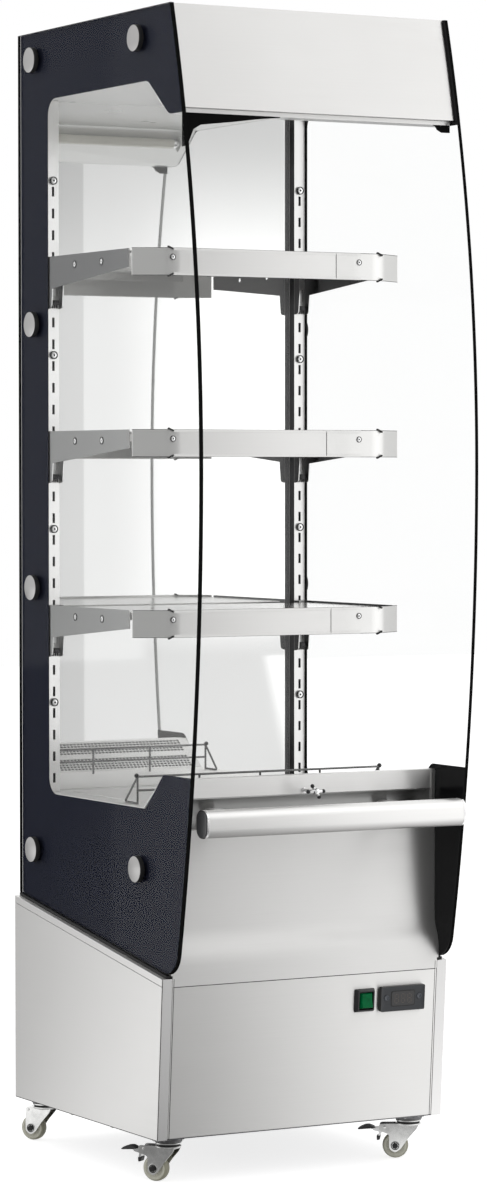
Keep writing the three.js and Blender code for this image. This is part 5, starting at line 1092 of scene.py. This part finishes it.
def buildPedal(corner):
    body = f"{corner}_pedal_body"
    bm = bmesh.new()
    start, end = pedal["taperX"]
    for vert in pullSide(bm, *pedal["beak"]):
        vert.co.y *= 1 - pedal["taper"] * max(0.0, (-vert.co.x - mm(start)) / mm(end - start))
    pullSide(bm, *pedal["band"])
    pullSide(bm, *pedal["shoe"])
    setDown(bm, corner)
    finishPiece(bm, f"{corner}Pedal", body, blackPlastic, (f"{corner}_pedal",),
                bevel=0.9, segments=3, sharp=45)
    bm = bmesh.new()
    pullSide(bm, *pedal["plate"])
    setDown(bm, corner)
    finishPiece(bm, f"{corner}PedalPlate", body, chrome, bevel=0.5, sharp=45)


# Fixed top plates with their bolts, and a grooved ring round each pad of the floor
plates = {"half": 20.5, "top": 68.9, "thick": 2.4, "boltX": 15.81, "boltDrop": 2.3, "darkZ": (61.2, 66.2),
          "bolt": [(2.8, 0), (2.8, -1.2), (2.2, -1.7), (0, -1.7)],
          "ring": [(20.7, 66.4), (21.2, 66), (21.2, 64.4), (20.9, 64), (20.9, 63.2), (21.2, 62.8), (21.2, 61.9),
                   (20.6, 61.4), (19.4, 61.4)]}


def buildPlates():
    p = plates
    half, boltX = p["half"], p["boltX"]
    bm = bmesh.new()
    for row in castor["rows"].values():
        for side, sign in sides:
            middle = at(sign * castor["x"], row, 0)
            box(bm, middle + spot(-half, -half, p["top"] - p["thick"]),
                middle + spot(half, half, p["top"]), 0.8, 2)
            turned(bm, p["ring"], middle, (0, 0, 1), 40)
            for x in (-boltX, boltX):
                for y in (-boltX, boltX):
                    turned(bm, p["bolt"], middle + spot(x, y, p["top"] - p["boltDrop"]), (0, 0, 1), 6)
    low, high = (mm(z) for z in p["darkZ"])
    paintFaces(bm, lambda face, middle: 1 if low < middle.z < high and abs(face.normal.z) < 0.6 else 0)
    finishPiece(bm, "castorPlates", "cabinet", [forkChrome, darkSteel], sharp=40)


for corner in castor["headings"]:
    buildFork(corner)
    buildWheel(corner)
    if corner.startswith("front"):
        buildPedal(corner)
buildPlates()
print("castors made")


# Controls, drawn upright with their back at y = 0, then laid on the leaning cover
controls = {"height": 258, "back": -0.3}


def layOn(bm, x):
    z = controls["height"]
    turn = Matrix.Rotation(math.atan(panel["lean"]), 3, "X")
    bmesh.ops.rotate(bm, verts=bm.verts, cent=(0, 0, 0), matrix=turn)
    bmesh.ops.translate(bm, verts=bm.verts, vec=at(x, leanY(z), z))


def roundedPlate(bm, width, height, corner, front, back):
    x, z = width / 2, height / 2
    points = [spot(*place) for place in ((x, front, z), (-x, front, z), (-x, front, -z), (x, front, -z))]
    return pullOutline(bm, closedCurve(points, corner, 5), spot(0, back - front, 0))


def frontFace(bm):
    bmesh.ops.recalc_face_normals(bm, faces=bm.faces)
    return min(bm.faces, key=lambda face: face.calc_center_median().y)


# The rocker is pressed in at its top: its lower half stands out as a wedge
switch = {"x": 102.5, "size": 36, "corner": 3, "proud": -7, "rim": (2, 0.5), "well": 6, "drawn": (-3, 0.8, 0.88),
          "rocker": [(-8.4, 11.8), (-9, 9.8), (-9.4, 0.5), (-12.3, -9.2), (-11.6, -10.4), (-5.4, -11.8),
                     (-2.4, -2), (-1.3, 2), (-1.3, 11.8)], "rockerHalf": 11, "rockerDrawn": (-7.5, 0.78, 0.94)}


# The part in front of a depth is drawn in towards the middle
def drawIn(verts, depth, shareX, shareZ):
    for vert in verts:
        if vert.co.y < mm(depth):
            vert.co.x *= shareX
            vert.co.z *= shareZ


def buildSwitch():
    s = switch
    bm = bmesh.new()
    verts = roundedPlate(bm, s["size"], s["size"], s["corner"], s["proud"], controls["back"])
    drawIn(verts, *s["drawn"])
    face = frontFace(bm)
    for width in s["rim"]:
        bmesh.ops.inset_region(bm, faces=[face], thickness=mm(width), use_even_offset=True)
    bmesh.ops.translate(bm, verts=face.verts, vec=spot(0, s["well"], 0))
    layOn(bm, s["x"])
    finishPiece(bm, "switchBezel", "cabinet", blackPlastic, ("switch_bezel",),
                bevel=0.5, segments=3)
    bm = bmesh.new()
    half = s["rockerHalf"]
    pullOutline(bm, closedCurve([spot(-half, y, z) for y, z in s["rocker"]], 0.8, 3), spot(2 * half, 0, 0))
    drawIn(bm.verts, *s["rockerDrawn"])
    layOn(bm, s["x"])
    finishPiece(bm, "rockerCap", "rocker_body", greenPlastic, ("rocker",),
                bevel=0.7, segments=3)


controller = {"x": 168, "case": (78, 38.6), "corner": 2.6, "proud": -6.6, "rim": 1.2, "sink": 0.4,
              "display": (41, 22), "displayCorner": 4, "displayBack": -6.1,
              "groove": 2.4, "grooveCorner": 4.6, "grooveY": (-6.35, -5),
              "digits": 3, "digitPitch": 11.5, "digit": (6.4, 13.5), "stroke": 1.3, "strokeGap": (1.2, 0.9),
              "strokeDepth": (-6.7, -6.5), "keyX": 29, "keyZ": 2, "pocket": 4.7, "pocketDepth": 4.8,
              "key": [(0, 6.5), (2.6, 6.55), (3.0, 6.9), (3.4, 7.1), (4.1, 7.0), (4.4, 6.6), (4.4, 3.2),
                      (0, 3.2)]}


# Round pockets let the keys sink into the face
def openPockets(bm, face):
    c = controller
    loops = list(face.edges)
    bmesh.ops.delete(bm, geom=[face], context="FACES_ONLY")
    pockets = []
    for side, sign in sides:
        middle = spot(sign * c["keyX"], c["proud"] + c["sink"], c["keyZ"])
        place = Matrix.Translation(middle) @ Matrix.Rotation(math.pi / 2, 4, "X")
        made = bmesh.ops.create_circle(bm, cap_ends=False, segments=28, radius=mm(c["pocket"]), matrix=place)
        pockets.append(edgesOf(made["verts"]))
        loops += pockets[-1]
    for item in only(bmesh.ops.triangle_fill(bm, use_beauty=True, edges=loops)["geom"], bmesh.types.BMFace):
        item.material_index = 0
    for ring in pockets:
        grown = bmesh.ops.extrude_edge_only(bm, edges=ring)["geom"]
        bmesh.ops.translate(bm, verts=only(grown, bmesh.types.BMVert), vec=spot(0, c["pocketDepth"], 0))
        bmesh.ops.contextual_create(bm, geom=only(grown, bmesh.types.BMEdge))
    bmesh.ops.recalc_face_normals(bm, faces=bm.faces)


def buildCase():
    c = controller
    width, height = c["display"]
    bm = bmesh.new()
    roundedPlate(bm, *c["case"], c["corner"], c["proud"], controls["back"])
    face = frontFace(bm)
    bmesh.ops.inset_region(bm, faces=[face], thickness=mm(c["rim"]), use_even_offset=True)
    bmesh.ops.translate(bm, verts=face.verts, vec=spot(0, c["sink"], 0))
    for item in bm.faces:
        item.material_index = 1
    openPockets(bm, face)
    # Black groove round the window
    grooved = roundedPlate(bm, width + c["groove"], height + c["groove"], c["grooveCorner"], *c["grooveY"])
    for item in {f for v in grooved for f in v.link_faces}:
        item.material_index = 2
    layOn(bm, c["x"])
    finishPiece(bm, "controllerCase", "cabinet", [casePlastic, blackPlastic, darkLine],
                ("controller",))
    bm = bmesh.new()
    roundedPlate(bm, width, height, c["displayCorner"], c["proud"], c["displayBack"])
    bmesh.ops.recalc_face_normals(bm, faces=bm.faces)
    layOn(bm, c["x"])
    finishPiece(bm, "controllerDisplay", "cabinet", displayPlastic, bevel=0.2)


# Unlit digit segments behind the window
def buildDigits():
    c = controller
    bm = bmesh.new()
    digitX, digitZ = c["digit"]
    half = c["stroke"] / 2
    front, back = c["strokeDepth"]
    for i in range(c["digits"]):
        middle = (i - (c["digits"] - 1) / 2) * c["digitPitch"]
        reach = digitX / 2 - c["strokeGap"][0]
        for z in (-digitZ / 2, 0, digitZ / 2):
            box(bm, spot(middle - reach, front, z - half), spot(middle + reach, back, z + half))
        reach = digitZ / 4 - c["strokeGap"][1]
        for x in (-digitX / 2, digitX / 2):
            for z in (-digitZ / 4, digitZ / 4):
                box(bm, spot(middle + x - half, front, z - reach), spot(middle + x + half, back, z + reach))
    layOn(bm, c["x"])
    finishPiece(bm, "controllerDigits", "cabinet", segmentPlastic)


def buildKey(side, sign):
    c = controller
    bm = bmesh.new()
    turned(bm, c["key"], spot(sign * c["keyX"], 0, c["keyZ"]), (0, -1, 0), 28)
    layOn(bm, c["x"])
    finishPiece(bm, f"{side}Key", f"{side}_key_body", keyPlastic, (f"{side}_key",), sharp=50)


buildSwitch()
buildCase()
buildDigits()
for side, sign in sides:
    buildKey(side, sign)
print("controls made")


# Cross knob in the middle of the recess, with dark tips; each arm has its angle and reach
knob = {"z": 583, "face": -187.3, "arm": 2.6, "taper": 0.85, "sunk": 3, "tip": 3.1, "tipSunk": 0.4, "out": 36,
        "arms": ((0, 13.6), (180, 13.6), (125, 10.6), (-55, 10.6)),
        "stem": [(0, 0), (3.4, 0), (3.4, 2), (2.2, 3), (2.2, 30), (4.6, 31.5), (5.2, 38), (4, 40.6), (0, 41)],
        "thread": [(0, -8.5), (2, -8.5), (2.4, -7.5), (2.4, 0.2), (0, 0.2)]}


def buildKnob():
    k = knob
    place = at(0, k["face"], k["z"])
    middle = place + spot(0, -k["out"], 0)
    stem, tips = bmesh.new(), bmesh.new()
    turned(stem, k["stem"], place, (0, -1, 0), 28)
    turned(stem, k["thread"], place, (0, -1, 0), 16)
    for turn, reach in k["arms"]:
        way = Vector((math.cos(math.radians(turn)), 0, math.sin(math.radians(turn))))
        arm = [(k["arm"], k["sunk"]), (k["arm"] * k["taper"], reach - k["sunk"])]
        turned(stem, arm, middle, way, 16)
        ball(tips, k["tip"], middle + way * mm(reach - k["tipSunk"]))
    finishPiece(stem, "crossKnob", "wing_screw_body", chrome, ("wing_screw",), sharp=45)
    finishPiece(tips, "crossKnobTips", "wing_screw_body", blackPlastic, sharp=60)


buildKnob()
print("knob made")


# Lamp tube with metal ferrules and pins: radius, and distance from the end
lamp = {"pin": 1.1, "shoulder": 5.2, "chamfer": 6, "ferrule": 15, "tube": 15.5, "metal": 15.8}


def buildLamp():
    low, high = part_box("lamp_tube")
    middle = (low + high) / 2
    half, radius = (high.x - low.x) * 500, (high.z - low.z) * 500
    end = [(0, 0), (lamp["pin"], 0), (lamp["pin"], lamp["shoulder"]), (radius - 1, lamp["shoulder"]),
           (radius - 0.2, lamp["chamfer"]), (radius - 0.2, lamp["ferrule"]), (radius, lamp["tube"])]
    profile = [(r, h - half) for r, h in end] + [(r, half - h) for r, h in end[::-1]]
    bm = bmesh.new()
    turned(bm, profile, middle, (1, 0, 0), 28)
    paintFaces(bm, lambda face, place: 1 if abs(place.x - middle.x) > mm(half - lamp["metal"]) else 0)
    finishPiece(bm, "lampTube", "cabinet", [lampGlass, chrome], ("lamp_tube",), sharp=45)


buildLamp()
print("lamp made")


# Thin pieces: dark corner pieces behind the lip of the canopy, which are painted shade, the strip behind that
# lip, dark joint lines, tabs under the sides and screws on the rear cover
trim = {"lip": -231, "lipZ": 1588, "cornerDepth": 3, "stripX": 231.5, "stripBehind": 5, "stripY": (10.6, 12.4),
        "stripZ": (1588.3, 1594.4),
        "leftCorner": ((-230, 0), (-66, 0), (-66, -1), (-105, -5), (-145, -10.5), (-200, -17), (-212, -24),
                       (-222, -48), (-230, -50)),
        "rightCorner": ((201, 0), (231, 0), (231, -11), (217, -11), (209, -7), (206, -2)),
        "joints": ((-247.9, 0.9), (-228.6, 0.9), (227.3, 0.8)), "jointZ": (69.5, 311.5), "jointY": (-0.12, 0.7),
        "sideX": 248.6, "sideBack": 297, "sideZ": 68.9, "sideFoot": (0.5, 1.1),
        "seamX": 228, "seamY": (-0.25, 0.6), "seamZ": (298.5, 299.5),
        "tabX": (244.5, 246.4), "tabY": (-165, -30, 105), "tabZ": (66.6, 69.4), "tabWidth": 6,
        "rearX": 224, "rearY": 295.9, "rearZ": (405, 720, 1065, 1410, 1736), "coverX": 150}


def buildTrim():
    t = trim
    bm = bmesh.new()
    # The black corner pieces are painted shade, dark sheets where the canopy's soffit lies in shadow
    for corner in (t["leftCorner"], t["rightCorner"]):
        pullOutline(bm, [at(x, t["lip"], t["lipZ"] + z) for x, z in corner], spot(0, t["cornerDepth"], 0))
    finishPiece(bm, "canopyShadeCorners", "cabinet", glassRim, bevel=0.3)
    # Dark joint lines at the corner posts, dark lower edges of the sides, and the seam of the front
    bm = bmesh.new()
    low, high = t["jointZ"]
    out, back = t["jointY"]
    outline = [(leanY(z) + y, z) for y, z in ((out, low), (out, high), (back, high), (back, low))]
    for x, width in t["joints"]:
        pullOutline(bm, inPlane(x, outline), spot(width, 0, 0))
    depth, height = t["sideFoot"]
    for side, sign in sides:
        start, end = sorted((sign * (t["sideX"] - depth), sign * t["sideX"]))
        box(bm, at(start, leanY(69) + 1, t["sideZ"]), at(end, t["sideBack"], t["sideZ"] + height))
    low, high = t["seamZ"]
    out, back = t["seamY"]
    box(bm, at(-t["seamX"], leanY(low) + out, low), at(t["seamX"], leanY(low) + back, high))
    finishPiece(bm, "baseJoints", "cabinet", darkLine)
    bm = bmesh.new()
    low, high = t["stripZ"]
    front, back = (sweepY(high) + t["stripBehind"] + y for y in t["stripY"])
    box(bm, at(-t["stripX"], front, low), at(t["stripX"], back, high))
    finishPiece(bm, "canopyLip", "cabinet", sillSteel)
    bm = bmesh.new()
    half, (low, high) = t["tabWidth"] / 2, t["tabZ"]
    for side, sign in sides:
        start, end = sorted(sign * x for x in t["tabX"])
        for y in t["tabY"]:
            box(bm, at(start, y - half, low), at(end, y + half, high), 0.4, 2)
    finishPiece(bm, "sideTabs", "cabinet", steelY)
    spots = [(x, z) for x in (-t["rearX"], t["rearX"]) for z in t["rearZ"]]
    spots += [(x, z) for x in (-t["coverX"], 0, t["coverX"]) for z in (t["rearZ"][0], t["rearZ"][-1])]
    ringScrews("rearScrews", "cabinet", [at(x, t["rearY"], z) for x, z in spots], (0, 1, 0), 3.6)


buildTrim()
print("trim made")
